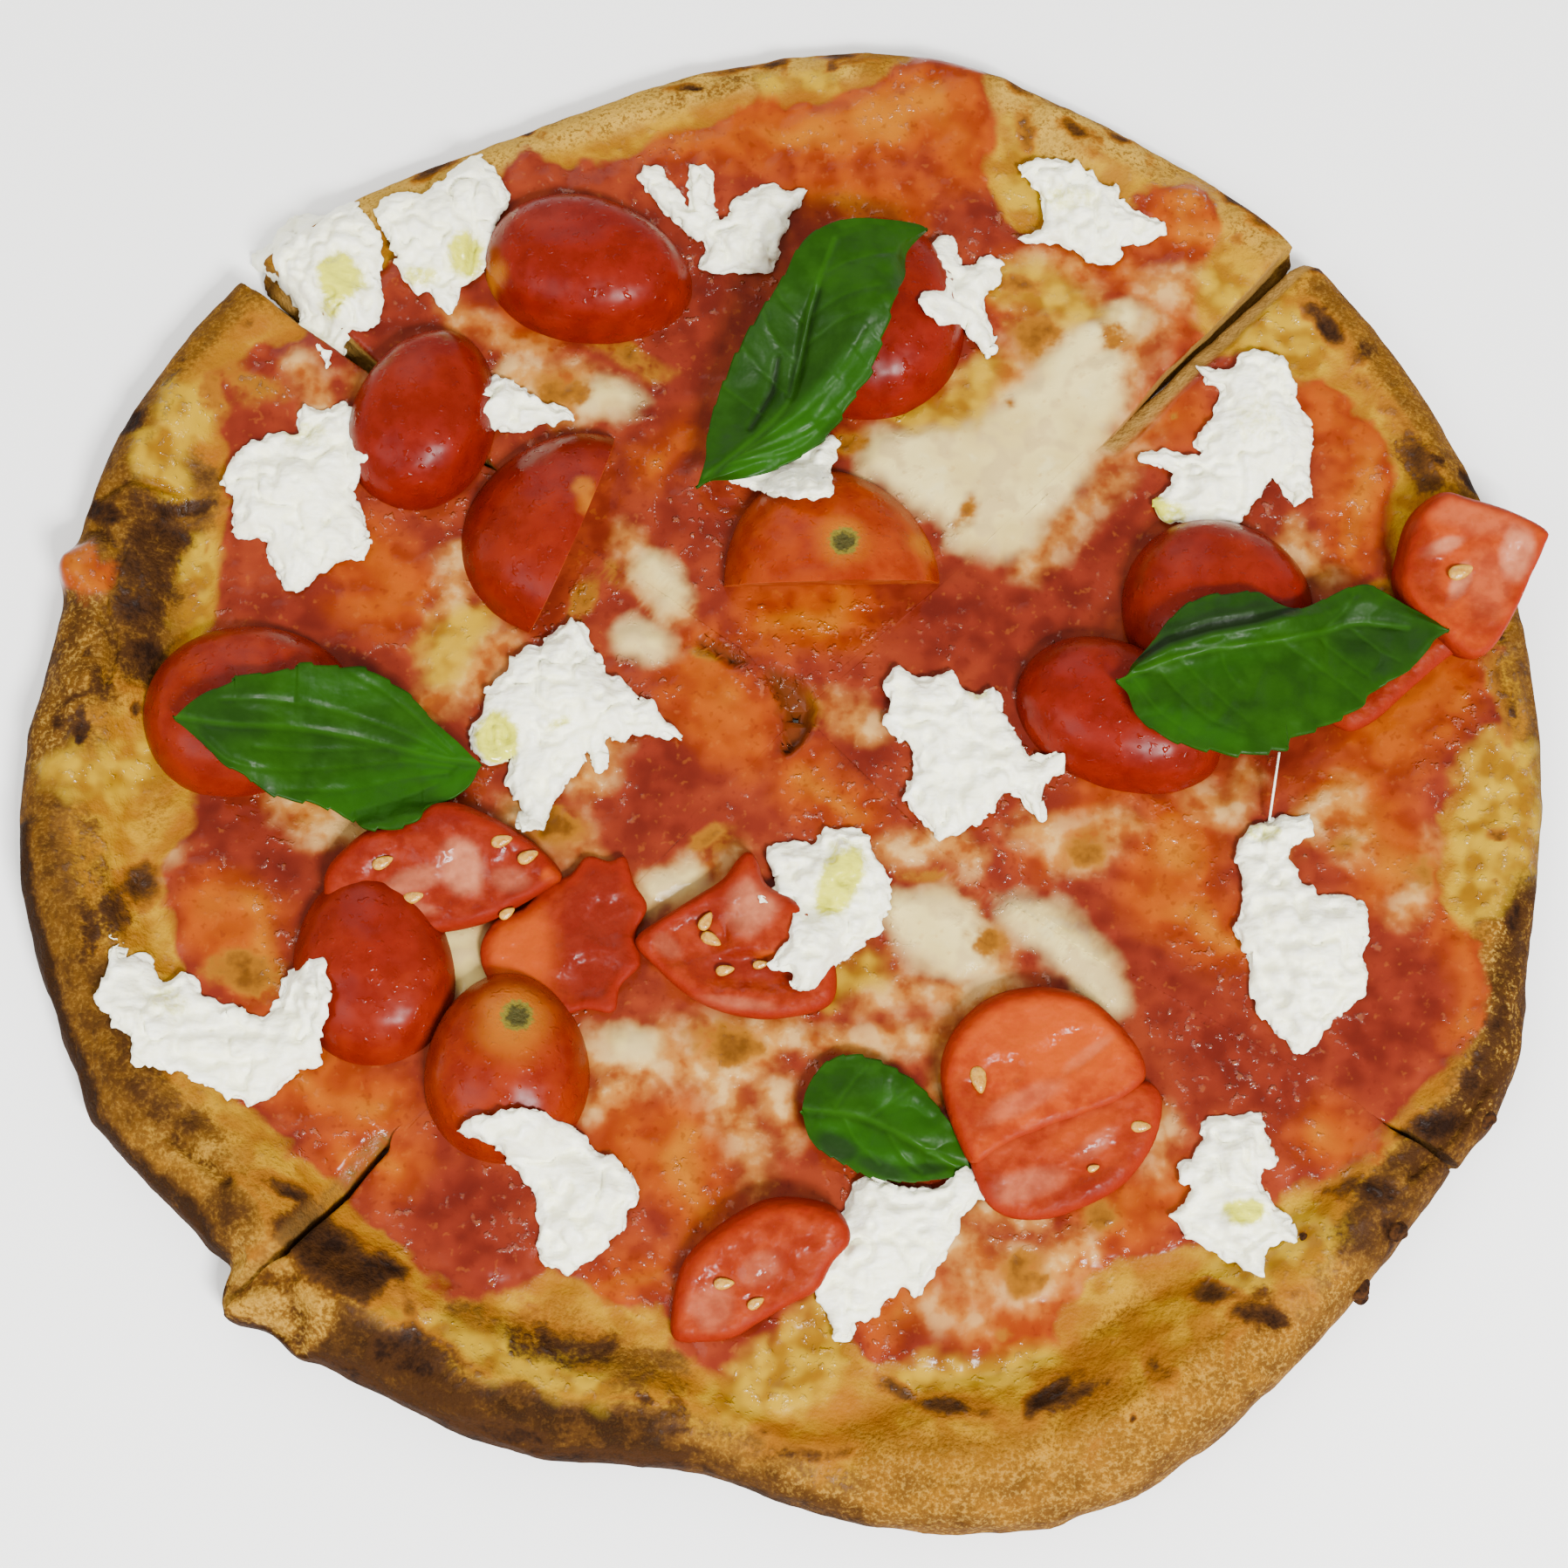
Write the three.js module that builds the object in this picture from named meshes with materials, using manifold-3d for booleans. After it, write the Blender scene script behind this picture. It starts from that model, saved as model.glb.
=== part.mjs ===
// A margherita pizza, cut crosswise into four slices that still lie together.
// Millimetres, +Z up. The pizza rests on z = 0 and the origin is under the middle of its outline.
// Angles around the disc are in degrees, from +X towards +Y.
import * as THREE from "three";
import { mergeVertices } from "three/addons/utils/BufferGeometryUtils.js";
import Module from "manifold-3d";

const wasm = await Module();
wasm.setup();

// ---- Driving sizes ----------------------------------------------------------------------------

const discRadius = 133.5;
const baseThickness = 4; // dough under the sauce
const layerGap = 0.3; // clear space between pieces that lie on each other
const sauceThickness = 1.3;
const sauceEdgeThickness = 0.3;

// Places where the outline swells out or draws in: angle, spread in degrees, amount.
const outlineSwells = [
  [50, 20, 1],
  [80, 12, 4],
  [112, 14, -5],
  [170, 8, -3.2],
  [193, 8, 1.5],
  [210, 5, 2],
  [221, 5, -2.5],
  [243, 9, -2.3],
  [262, 10, -7.5],
  [291, 14, 8],
  [312, 14, 2.5],
  [333, 7, 5],
];

// Every 15 degrees from +X: how far the bare crust reaches in from the edge.
const bareCrust = [
  6.5, 8, 11, 8, 20, 4.5, 13, 10, 10, 11, 16, 21, 20, 20, 23.5, 25, 23, 18, 12.5, 27, 26, 17, 15, 8,
];

// Every 30 degrees from +X: the height of the crust's crown.
const crownHeight = [9, 10, 10, 9, 9.5, 12.5, 14, 15, 15, 13, 17, 13];

// Blisters, torn hollows and puffed slice tips: x, y, radius, rise.
const doughSwells = [
  [-10, 8, 9, 1.4],
  [5, 22, 10, 1.3],
  [4, -9, 9, 1.4],
  [3, 6, 4, -1.6],
  [-121, 31, 5, 2.4],
  [-111, 36, 6, -2.2],
  [-118, 42, 5, 1.6],
  [-112, 17, 5, -1.2],
  [-71, -94, 8, 1.6],
  [-86, -86, 7, 1.2],
  [2, -113, 9, -2.2],
  [24, -121, 12, 1.8],
  [58, -112, 12, 1.4],
  [88, -92, 9, 1.2],
  [42, 114, 4, 1.6],
  [86, 98, 7, 1.4],
  [-36, 118, 9, 0.9],
];

// The cuts run from where they cross, out past the edge. Each point is x, y, width of the gap.
const cuts = {
  upperRight: [[2, 5, 0.6], [28, 28, 0.7], [56, 55, 0.9], [76, 75, 2.6], [96, 94, 4], [130, 127, 5]],
  upperLeft: [[2, 5, 1], [-8, 16, 1.4], [-28, 31, 0.8], [-70, 66, 2], [-97, 88, 5], [-125, 112, 6]],
  lowerLeft: [[2, 5, 1], [-8, -6, 0.7], [-40, -41, 0.6], [-66, -71, 2], [-81, -90, 2.2], [-118, -128, 0.7]],
  lowerRight: [[2, 5, 1], [27, -21, 0.7], [60, -43, 0.6], [84, -58, 0.8], [103, -70, 1.6], [142, -94, 2.4]],
};

// Patches of baked mozzarella, each a soft stroke: x, y, half width.
const meltedCheese = [
  [[19, 55, 5], [28, 53, 9], [38, 54, 10], [47, 59, 10], [57, 68, 9], [64, 77, 5]],
  [[-50, 68, 4], [-42, 66, 6], [-35, 65, 5], [-31, 61, 3]],
  [[-29, 39, 3], [-25, 33, 5.5], [-20, 28, 4.5], [-18, 24, 2.5]],
  [[-61, 5, 4], [-57, 11, 5], [-52, 16, 3]],
  [[19, -34, 4], [26, -34, 7], [33, -36, 6], [38, -39, 4]],
  [[40, -31, 2.5], [47, -35, 3.5], [52, -40, 3.5], [55, -46, 2]],
  [[-31, -58, 4], [-24, -55, 6.5], [-15, -55, 6], [-9, -61, 6], [-7, -69, 5], [-5, -77, 3]],
  [[30, -96, 4], [36, -90, 6], [43, -93, 7], [47, -99, 4]],
  [[113, -24, 3], [120, -21, 5], [127, -16, 5]],
  [[67, 85, 4], [75, 87, 5], [82, 91, 4]],
];

// Tomato pieces, cut from cherry and plum tomatoes. at: x, y of the middle, or of the cut's middle for a
// piece on its edge. size: length, width (or depth from the cut) and height. turn: of the length.
// lie: which way the cut faces. lean: how far the cut face tips towards -Y. scar: x, y of the stem scar.
const tomatoes = [
  { at: [15.5, 80.5], size: [40, 36, 14], turn: 80, lie: "down" },
  { at: [8.5, 29.5], size: [38.5, 22, 13], turn: 1, lie: "edge", scar: [10.5, 33] },
  { at: [-94, 5], size: [36, 30, 11], turn: 12, lie: "down" },
  { at: [-70.5, -43], size: [33, 27, 11], turn: 100, lie: "down" },
  { at: [-47, -58.5], size: [33, 28, 14], turn: 90, lie: "down", scar: [-45, -51] },
  { at: [-34.5, -36], size: [28, 23, 7], turn: 60, lie: "down" },
  { at: [-9, -38], size: [35, 24, 10], turn: -5, lie: "up", lean: 8 },
  { at: [44.5, -57.5], size: [35, 27, 13], turn: 8, lie: "up", lean: 14 },
  { at: [47.5, -75.5], size: [33, 15, 9], turn: 20, lie: "down" },
  { at: [-6, -92], size: [31, 18, 9], turn: 38, lie: "up", lean: 12 },
  { at: [-36, 89], size: [39, 28, 13], turn: -14, lie: "down" },
  { at: [-65, 60], size: [34, 26, 13], turn: 72, lie: "down" },
  { at: [-38.5, 38.5], size: [40, 19, 13], turn: 69, lie: "edge" },
  { at: [77, 24], size: [34, 33, 13], turn: 0, lie: "down" },
  { at: [59, 4], size: [38, 25, 12], turn: -27, lie: "down" },
  { at: [107, 11], size: [32, 13, 7], turn: 42, lie: "down" },
  { at: [119, 30], size: [31, 26, 13], turn: 48, lie: "up", lean: 10 },
  { at: [-58, -24], size: [43, 21, 10], turn: 3, lie: "up", lean: 14 },
];

// Torn lumps of fresh mozzarella, each a bundle of strokes: x, y, half width.
const mozzarella = [
  [
    [[-79, 103, 2.4], [-82, 97, 7], [-83, 88, 9], [-80, 81, 7], [-84, 72, 1.8]],
    [[-99, 94, 1.6], [-92, 95, 6], [-86, 93, 8]],
  ],
  [
    [[-57, 113, 1.4], [-58, 106, 6], [-61, 98, 9], [-62, 90, 7], [-61, 81.5, 1.4]],
    [[-74, 102, 2], [-68, 100, 5], [-62, 98, 7]],
  ],
  [
    [[-26, 110, 1.8], [-22, 105, 3], [-16, 98, 3.4], [-12, 94, 3.5]],
    [[-15.5, 110, 1.8], [-16, 105, 3], [-17, 100, 3]],
    [[-15, 92, 1.6], [-8, 96, 5.5], [-3, 100, 6], [-2, 106, 2.5]],
    [[-2, 100, 3], [3.5, 104, 1]],
  ],
  [
    [[45, 110, 1.2], [50, 108, 3.8], [54, 103, 6], [58, 99, 6.5], [69, 97.5, 1.4]],
    [[43.5, 95.5, 0.9], [50, 98, 3], [56, 100, 5]],
    [[58, 98, 5], [60, 91.5, 1.8]],
  ],
  [
    [[28.5, 95, 1.2], [31, 89, 2.6], [33, 84, 3.6], [37.5, 73.5, 1.2]],
    [[38.5, 91, 1.6], [34, 86, 3]],
    [[25.5, 82, 2], [29, 81, 3.2], [33, 84, 3.4]],
  ],
  [
    [[-79, 62, 1.8], [-84, 56, 6], [-88, 48, 9], [-88, 40, 8], [-87, 32, 4], [-86, 28, 1.4]],
    [[-99.5, 49, 1], [-94, 49, 4.5], [-88, 46, 7]],
    [[-98, 38.5, 1.2], [-92, 43, 4]],
    [[-75, 53, 1], [-82, 51, 5]],
  ],
  [[[-53, 65, 2.4], [-50, 64, 4.6], [-45, 62, 3], [-40.5, 61.5, 0.9]]],
  [
    [[-11, 48, 1], [-3, 48, 3.5], [4, 50, 5], [8.5, 54, 2.5]],
    [[7.5, 44.5, 1.3], [4, 49, 3.5]],
  ],
  [
    [[-37, 22, 2], [-41, 14, 8], [-44, 5, 10], [-46, -5, 8], [-47, -14, 3], [-46, -17, 1.2]],
    [[-56, 6, 2], [-49, 4, 7]],
    [[-17.5, 0.7, 0.6], [-23, 3, 1.8], [-30, 6, 4.5], [-38, 8, 7]],
    [[-32, -5, 1.2], [-34, 0, 2], [-37, 4, 3]],
  ],
  [
    [[19, 12, 1.6], [25, 8, 6], [29, 1, 8], [31, -6, 8], [29, -13, 5], [26, -18, 1.4]],
    [[47.8, -3, 0.9], [44, -6, 1.8], [37, -7, 4], [32, -5, 6]],
    [[45.5, -15.3, 0.7], [43, -10.5, 1.6], [38, -8, 3]],
    [[37, 9, 1.2], [31, 6, 4]],
    [[21.5, -10.5, 0.9], [27, -10, 4]],
  ],
  [
    [[75.5, 70.5, 0.9], [81, 69, 3], [86, 68, 5], [89, 62, 6], [91, 55, 4.5], [92, 45, 2.6]],
    [[88, 60, 6], [83, 52, 7], [77, 47, 6], [70, 42.5, 2]],
    [[64, 53, 0.8], [72, 51.5, 2.8], [80, 50, 5]],
  ],
  [
    [[90.5, -17, 1.6], [85, -16.5, 2.2], [83, -22, 3.5], [84, -30, 6], [87, -38, 9], [87, -47, 6.5], [87, -55.5, 1.2]],
    [[98, -30, 1.8], [93, -36, 6], [95, -43, 4.5]],
  ],
  [
    [[-113.5, -35.5, 0.8], [-112, -43, 2.8], [-107, -50, 5.5], [-99, -55, 6.5], [-90, -57, 6], [-83, -53, 4.5], [-80, -46, 3.5], [-79.5, -40, 1.4]],
    [[-103, -41, 1.5], [-107, -46, 4]],
    [[-89, -64, 0.9], [-90, -58, 4]],
  ],
  [
    [[10, -17, 2], [10, -23, 6], [11, -30, 7.5], [9, -37, 6], [3, -43.5, 1.6]],
    [[-1.5, -20, 1.5], [3, -23, 3.5], [8, -27, 5]],
    [[-4.5, -28.3, 0.5], [1, -26.5, 1.8], [6, -27, 4]],
    [[-0.5, -40, 0.9], [5, -38, 3.5]],
  ],
  [
    [[-54, -67.5, 0.8], [-47, -68.5, 3.5], [-41, -72, 6], [-36, -79, 8], [-36, -86, 5], [-37.5, -91.5, 1]],
    [[-42, -64, 1.3], [-41, -70, 4]],
    [[-24, -80, 1.2], [-30, -79, 5], [-36, -80, 6]],
  ],
  [
    [[32, -77.5, 1.4], [27, -82, 4.5], [20, -86, 7], [14, -91, 7], [10, -97, 3.5], [10, -103, 0.8]],
    [[12.5, -77.5, 1.3], [17, -83, 5]],
    [[5, -91.5, 1], [10, -89, 4], [9, -84.5, 2]],
  ],
  [
    [[78, -67.5, 2.4], [75, -74, 5.5], [74, -81, 6], [76, -87, 5], [78, -92, 1.2]],
    [[65.5, -75, 0.8], [71, -76, 4]],
    [[65.5, -84, 0.8], [71, -84, 4.5]],
    [[85, -85.5, 0.8], [79, -84, 4.5]],
  ],
];

// Basil leaves: the midrib from end to end as x, y, half width of the blade. fold: slope of each half
// up from the midrib. before: the mozzarella lump that lies on the leaf, where one does.
const basil = [
  { midrib: [[-15.5, 46, 0.4], [-5, 57, 7.5], [3, 69, 11.5], [8, 80, 12], [14, 91, 8.5], [25.5, 97, 0.8]], fold: 0.12 },
  { midrib: [[-105, 3.5, 0.4], [-95, 2.5, 7], [-84, 1, 12.5], [-73, -2, 13.8], [-62, -5, 8.5], [-52.5, -5.5, 0.8]], fold: 0.1 },
  { midrib: [[57, 10, 0.8], [68, 9, 12], [80, 11, 14.5], [92, 13, 12], [104, 17.5, 9.5], [115.5, 19.8, 0.4]], fold: 0.22 },
  { midrib: [[4, -59.5, 3], [10, -65, 8.4], [17, -68.5, 8.8], [25, -73, 6], [31, -77.5, 0.4]], fold: 0.3, before: 15 },
];
const leafThickness = 0.7;

// ---- Solids and geometries --------------------------------------------------------------------

const bareGeometry = (geometry) => {
  const plain = geometry.index ? geometry.toNonIndexed() : geometry.clone();
  plain.deleteAttribute("normal");
  plain.deleteAttribute("uv");
  return mergeVertices(plain, 1e-4);
};

const solidOf = (geometry) => {
  const merged = bareGeometry(geometry);
  return new wasm.Manifold(
    new wasm.Mesh({
      numProp: 3,
      vertProperties: merged.getAttribute("position").array,
      triVerts: new Uint32Array(merged.index.array),
    }),
  );
};

const geometryOf = (solid) => {
  const { numProp, numVert, vertProperties, triVerts } = solid.getMesh();
  const positions = new Float32Array(numVert * 3);
  for (let i = 0; i < numVert; i++) {
    positions.set(vertProperties.subarray(i * numProp, i * numProp + 3), i * 3);
  }
  return new THREE.BufferGeometry()
    .setAttribute("position", new THREE.BufferAttribute(positions, 3))
    .setIndex(new THREE.BufferAttribute(new Uint32Array(triVerts), 1));
};

const joined = (solids) => solids.reduce((all, one) => all.add(one));

// The largest of the bodies that a cut leaves.
const mainBody = (solid) =>
  solid.decompose().reduce((best, body) => (body.volume() > best.volume() ? body : best));

// A closed geometry swollen by the gap, so that what is cut by it stays clear of the geometry itself.
const swollen = (geometry) => {
  const grown = bareGeometry(geometry);
  grown.computeVertexNormals();
  const place = grown.getAttribute("position");
  const normal = grown.getAttribute("normal");
  for (let i = 0; i < place.count; i++) {
    place.setXYZ(
      i,
      place.getX(i) + layerGap * normal.getX(i),
      place.getY(i) + layerGap * normal.getY(i),
      place.getZ(i) + layerGap * normal.getZ(i),
    );
  }
  return grown;
};

// A closed skin over rings of equal length, capped by one point at each end.
const skinOver = (firstPoint, rings, lastPoint) => {
  const sides = rings[0].length;
  const points = [firstPoint, ...rings.flat(), lastPoint];
  const last = points.length - 1;
  const faces = [];
  for (let i = 0; i < sides; i++) {
    const next = (i + 1) % sides;
    faces.push(0, 1 + i, 1 + next);
    rings.slice(1).forEach((_, k) => {
      const low = 1 + k * sides;
      const high = low + sides;
      faces.push(low + i, high + i, high + next, low + i, high + next, low + next);
    });
    const top = 1 + (rings.length - 1) * sides;
    faces.push(top + i, last, top + next);
  }
  return new THREE.BufferGeometry()
    .setAttribute("position", new THREE.Float32BufferAttribute(points.flat(), 3))
    .setIndex(faces);
};

// ---- Small mathematics ------------------------------------------------------------------------

const radians = THREE.MathUtils.degToRad;
const mix = THREE.MathUtils.lerp;
const smooth = (t) => THREE.MathUtils.smoothstep(t, 0, 1);

// A value from a table that runs once around the disc in equal steps.
const around = (table, degrees) => {
  const step = (((degrees % 360) + 360) % 360) / (360 / table.length);
  const low = Math.floor(step);
  return mix(table[low % table.length], table[(low + 1) % table.length], smooth(step - low));
};

const turnBetween = (a, b) => {
  const turn = Math.abs(a - b) % 360;
  return Math.min(turn, 360 - turn);
};

const bell = (distance, spread) => Math.exp(-((distance / spread) ** 2));

// Slow unevenness of hand-stretched dough, between -1 and 1.
const unevenness = (x, y) =>
  (Math.sin(x * 0.11 + 1.3 * Math.sin(y * 0.07)) + Math.sin(y * 0.13 + 1.7 * Math.sin(x * 0.05 + 2))) / 2;

// ---- Dough and sauce --------------------------------------------------------------------------

const edgeRadius = (angle) =>
  outlineSwells.reduce((r, [at, spread, out]) => r + out * bell(turnBetween(angle, at), spread), discRadius);

const sauceRadius = (angle) => edgeRadius(angle) - around(bareCrust, angle);

const crownShare = 0.38; // where the crown lies in the crust's width, from the outside
const waistShare = 0.36; // height of the widest point, as a share of the crown
const footInset = 6; // the underside leaves the table this far in from the edge

// The dough's top at a place, out to the crown and down the outside to the widest point.
const doughTop = (x, y) => {
  const angle = THREE.MathUtils.radToDeg(Math.atan2(y, x));
  const inset = Math.max(0, edgeRadius(angle) - Math.hypot(x, y));
  const width = 12 + 0.75 * around(bareCrust, angle);
  const crown = around(crownHeight, angle) * (1 + 0.06 * unevenness(x * 2, y * 2));
  const crownInset = crownShare * width;
  const swells = doughSwells.reduce(
    (rise, [sx, sy, radius, amount]) => rise + amount * bell(Math.hypot(x - sx, y - sy), radius),
    0,
  );
  if (inset >= crownInset) {
    const climb = smooth((width - inset) / (width - crownInset));
    return mix(baseThickness + 0.4 * unevenness(x, y), crown, climb) + swells;
  }
  const fall = Math.sqrt(Math.max(0, 1 - (1 - inset / crownInset) ** 2));
  return mix(waistShare * crown, crown, fall) + swells * fall;
};

const columns = 60; // around the disc
const sauceShares = [0.11, 0.3, 0.6, 1]; // rings under the sauce, from the middle to its edge
const crustSteps = [0.25, 0.5, 0.7, 0.86, 0.96, 1]; // from the sauce's edge to the widest point
const polar = (angle, radius) => [radius * Math.cos(radians(angle)), radius * Math.sin(radians(angle))];
const columnAngles = Array.from({ length: columns }, (_, i) => (i * 360) / columns);

const sauceRing = (share, height) =>
  columnAngles.map((angle) => {
    const [x, y] = polar(angle, sauceRadius(angle) * share);
    return [x, y, height(x, y)];
  });

const doughGeometry = () => {
  const foot = columnAngles.map((angle) => [...polar(angle, edgeRadius(angle) - footInset), 0]);
  const heel = columnAngles.map((angle) => {
    const waist = waistShare * around(crownHeight, angle);
    return [...polar(angle, edgeRadius(angle) - 0.22 * footInset), 0.3 * waist];
  });
  const crust = crustSteps.toReversed().map((step) =>
    columnAngles.map((angle) => {
      const [x, y] = polar(angle, mix(sauceRadius(angle), edgeRadius(angle), step));
      return [x, y, doughTop(x, y)];
    }),
  );
  const middle = sauceShares.toReversed().map((share) => sauceRing(share, doughTop));
  return skinOver([0, 0, 0], [foot, heel, ...crust, ...middle].map((r) => r.toReversed()), [
    0,
    0,
    doughTop(0, 0),
  ]);
};

const sauceBottom = (x, y) => doughTop(x, y) + layerGap;
const sauceTop = (x, y) => sauceBottom(x, y) + sauceThickness * (1 + 0.35 * unevenness(x * 1.6, y * 1.6));

// The sauce reaches down into the dough, lifted by the gap, and is cut off there.
const sauceGeometry = (dough) => {
  const below = sauceShares.map((share) => sauceRing(share, (x, y) => doughTop(x, y) - 1));
  const edge = sauceRing(1, (x, y) => sauceBottom(x, y) + sauceEdgeThickness);
  const above = sauceShares.slice(0, -1).map((share) => sauceRing(share, sauceTop));
  const rings = [...below, edge, ...above.toReversed()].map((r) => r.toReversed());
  const raw = solidOf(skinOver([0, 0, doughTop(0, 0) - 1], rings, [0, 0, sauceTop(0, 0)]));
  return geometryOf(mainBody(raw.subtract(solidOf(dough.clone().translate(0, 0, layerGap)))));
};

// ---- Slices -----------------------------------------------------------------------------------

// One side of a cut: its path moved sideways by half the gap. side is 1 for the left, looking outwards.
const cutSide = (path, side) =>
  path.slice(1).map(([x, y, gap], i) => {
    const [fromX, fromY] = path[i];
    const length = Math.hypot(x - fromX, y - fromY);
    return new THREE.Vector2(
      x - (side * gap * (y - fromY)) / (2 * length),
      y + (side * gap * (x - fromX)) / (2 * length),
    );
  });

// The wedge from one cut round to the next, anticlockwise, as a tall prism.
const wedge = (first, second) => {
  const start = cutSide(first, 1);
  const end = cutSide(second, -1);
  const middle = new THREE.Vector2(first[0][0], first[0][1]);
  const inwards = start[0].clone().add(end[0]).sub(middle).sub(middle).setLength(first[0][2] + 0.3);
  const corner = start.at(-1).clone().add(end.at(-1)).setLength(2.2 * discRadius);
  const outline = new THREE.Shape([middle.clone().add(inwards), ...start, corner, ...end.toReversed()]);
  const prism = new THREE.ExtrudeGeometry(outline, { depth: 80, bevelEnabled: false });
  return solidOf(prism.translate(0, 0, -10));
};

const slices = {
  right: wedge(cuts.lowerRight, cuts.upperRight),
  top: wedge(cuts.upperRight, cuts.upperLeft),
  left: wedge(cuts.upperLeft, cuts.lowerLeft),
  bottom: wedge(cuts.lowerLeft, cuts.lowerRight),
};

// ---- Placing pieces on what lies below --------------------------------------------------------

const placed = []; // { reach, solid }: a box round each piece, and what later pieces keep clear of
const down = new THREE.Vector3(0, 0, -1);
const caster = new THREE.Raycaster();

const rayMeshes = [];
const restHeight = (x, y) => {
  caster.set(new THREE.Vector3(x, y, 100), down);
  const hit = caster.intersectObjects(rayMeshes, false)[0];
  return hit ? hit.point.z : baseThickness;
};

const boxOf = (geometry) => {
  geometry.computeBoundingBox();
  return geometry.boundingBox;
};

// Everything placed so far that comes near a box, grown by the gap, as one solid.
const obstaclesNear = (box) => joined(placed.filter(({ reach }) => reach.intersectsBox(box)).map((p) => p.solid));

// Later pieces rest on the geometry, and keep clear of the solid.
const addObstacle = (geometry, solid) => {
  const reach = boxOf(geometry).clone().expandByScalar(2 * layerGap);
  placed.push({ reach, solid });
  const mesh = new THREE.Mesh(geometry, new THREE.MeshBasicMaterial({ side: THREE.DoubleSide }));
  mesh.updateMatrixWorld(true);
  rayMeshes.push(mesh);
};

const withLift = (geometry) => solidOf(geometry).add(solidOf(geometry.clone().translate(0, 0, layerGap)));
const withSwell = (geometry) => solidOf(swollen(geometry));

// A raw shape, less all that lies under or in it.
const fitted = (rawGeometry) => {
  const solid = solidOf(rawGeometry).subtract(obstaclesNear(boxOf(rawGeometry)));
  const geometry = geometryOf(mainBody(solid));
  addObstacle(geometry, withSwell(rawGeometry));
  return geometry;
};

// ---- Strokes: melted cheese and torn mozzarella -----------------------------------------------

// A soft stroke laid along points of x, y, half width, over what is there. height(halfWidth) is its
// rise above its middle line, and sink its depth below.
const strokeGeometry = (points, sides, height, sink) => {
  const middles = points.map(([x, y, half]) => new THREE.Vector3(x, y, restHeight(x, y) + sink(half)));
  const rings = points.map(([, , half], i) => {
    const before = middles[Math.max(0, i - 1)];
    const after = middles[Math.min(points.length - 1, i + 1)];
    const across = new THREE.Vector3(after.y - before.y, before.x - after.x, 0).normalize();
    return Array.from({ length: sides }, (_, k) => {
      const turn = (2 * Math.PI * (k + 0.5)) / sides;
      const at = middles[i].clone().addScaledVector(across, half * Math.cos(turn));
      return [at.x, at.y, at.z + height(half) * Math.sin(turn)];
    });
  });
  const endPoint = (from, to, half) => {
    const out = to.clone().sub(from).setLength(0.55 * half).add(to);
    return out.toArray();
  };
  const first = endPoint(middles[1], middles[0], points[0][2]);
  const last = endPoint(middles.at(-2), middles.at(-1), points.at(-1)[2]);
  return skinOver(first, rings, last);
};

const meltedGeometry = (points) => {
  const thin = strokeGeometry(points, 6, () => 1.6, () => 0);
  return fitted(thin);
};

const lumpGeometry = (strokes) => {
  const thickness = (half) => 1 + 0.42 * half;
  const lift = (half) => 0.6 + 0.2 * half;
  const parts = strokes.map((points) => solidOf(strokeGeometry(points, 6, thickness, lift)));
  return fitted(geometryOf(mainBody(joined(parts))));
};

// ---- Tomatoes ---------------------------------------------------------------------------------

// Half an egg-shaped fruit: the cut is the plane z = 0 and the skin bulges up.
const halfFruit = (length, width, height) => {
  const sides = 14;
  const climbs = [0, 0.3, 0.64];
  const taper = 0.08;
  const rings = climbs.map((climb) =>
    Array.from({ length: sides }, (_, k) => {
      const turn = (2 * Math.PI * k) / sides;
      const reach = Math.cos((climb * Math.PI) / 2);
      const along = reach * Math.cos(turn);
      const across = reach * Math.sin(turn) * (1 - taper * along);
      return [(length / 2) * along, (width / 2) * across, height * Math.sin((climb * Math.PI) / 2)];
    }),
  );
  return skinOver([0, 0, 0], rings.map((r) => r.toReversed()), [0, 0, height]);
};

// The seed pockets in a cut face: shallow hollows either side of the core.
const seedPockets = (length, width) => {
  const depth = 1.6;
  return [-1, 1].flatMap((side) =>
    [-0.42, 0.42].map((along) => {
      const pocket = new THREE.SphereGeometry(1, 6, 4);
      pocket.scale(0.15 * length, 0.14 * width, depth);
      return solidOf(pocket.translate((along * length) / 2, (side * 0.42 * width) / 2, 0));
    }),
  );
};

const tomatoGeometry = ({ at: [x, y], size: [length, width, height], turn, lie, lean = 0, scar }) => {
  const bed = sauceTop(x, y);
  let raw;
  if (lie === "edge") {
    // The cut stands upright, and the half that would lie below the sauce is cut off there.
    const whole = new THREE.SphereGeometry(1, 14, 8).rotateX(Math.PI / 2);
    whole.scale(length / 2, width, height);
    const keep = new THREE.BoxGeometry(length * 2, width * 2, height * 2).translate(0, width, height - 1.5);
    raw = geometryOf(solidOf(whole).intersect(solidOf(keep)));
    raw.rotateZ(radians(turn)).translate(x, y, bed);
  } else if (lie === "up") {
    const buried = 0.34 * height;
    const flipped = halfFruit(length, width, height).rotateX(Math.PI);
    const turned = geometryOf(
      seedPockets(length, width).reduce((left, pocket) => left.subtract(pocket), solidOf(flipped)),
    );
    raw = turned.rotateZ(radians(turn)).rotateX(radians(lean));
    raw.translate(x, y, bed + height - buried);
  } else {
    const buried = 1.2;
    raw = halfFruit(length, width, height + buried).rotateZ(radians(turn));
    raw.translate(x, y, bed - buried);
  }
  if (scar) dimple(raw, scar, 3.4, 0.9);
  return fitted(raw);
};

// Presses a shallow dimple into the top of a geometry.
function dimple(geometry, [x, y], radius, depth) {
  const place = geometry.getAttribute("position");
  for (let i = 0; i < place.count; i++) {
    const press = depth * bell(Math.hypot(place.getX(i) - x, place.getY(i) - y), radius);
    place.setZ(i, place.getZ(i) - press);
  }
}

// ---- Basil ------------------------------------------------------------------------------------

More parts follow.
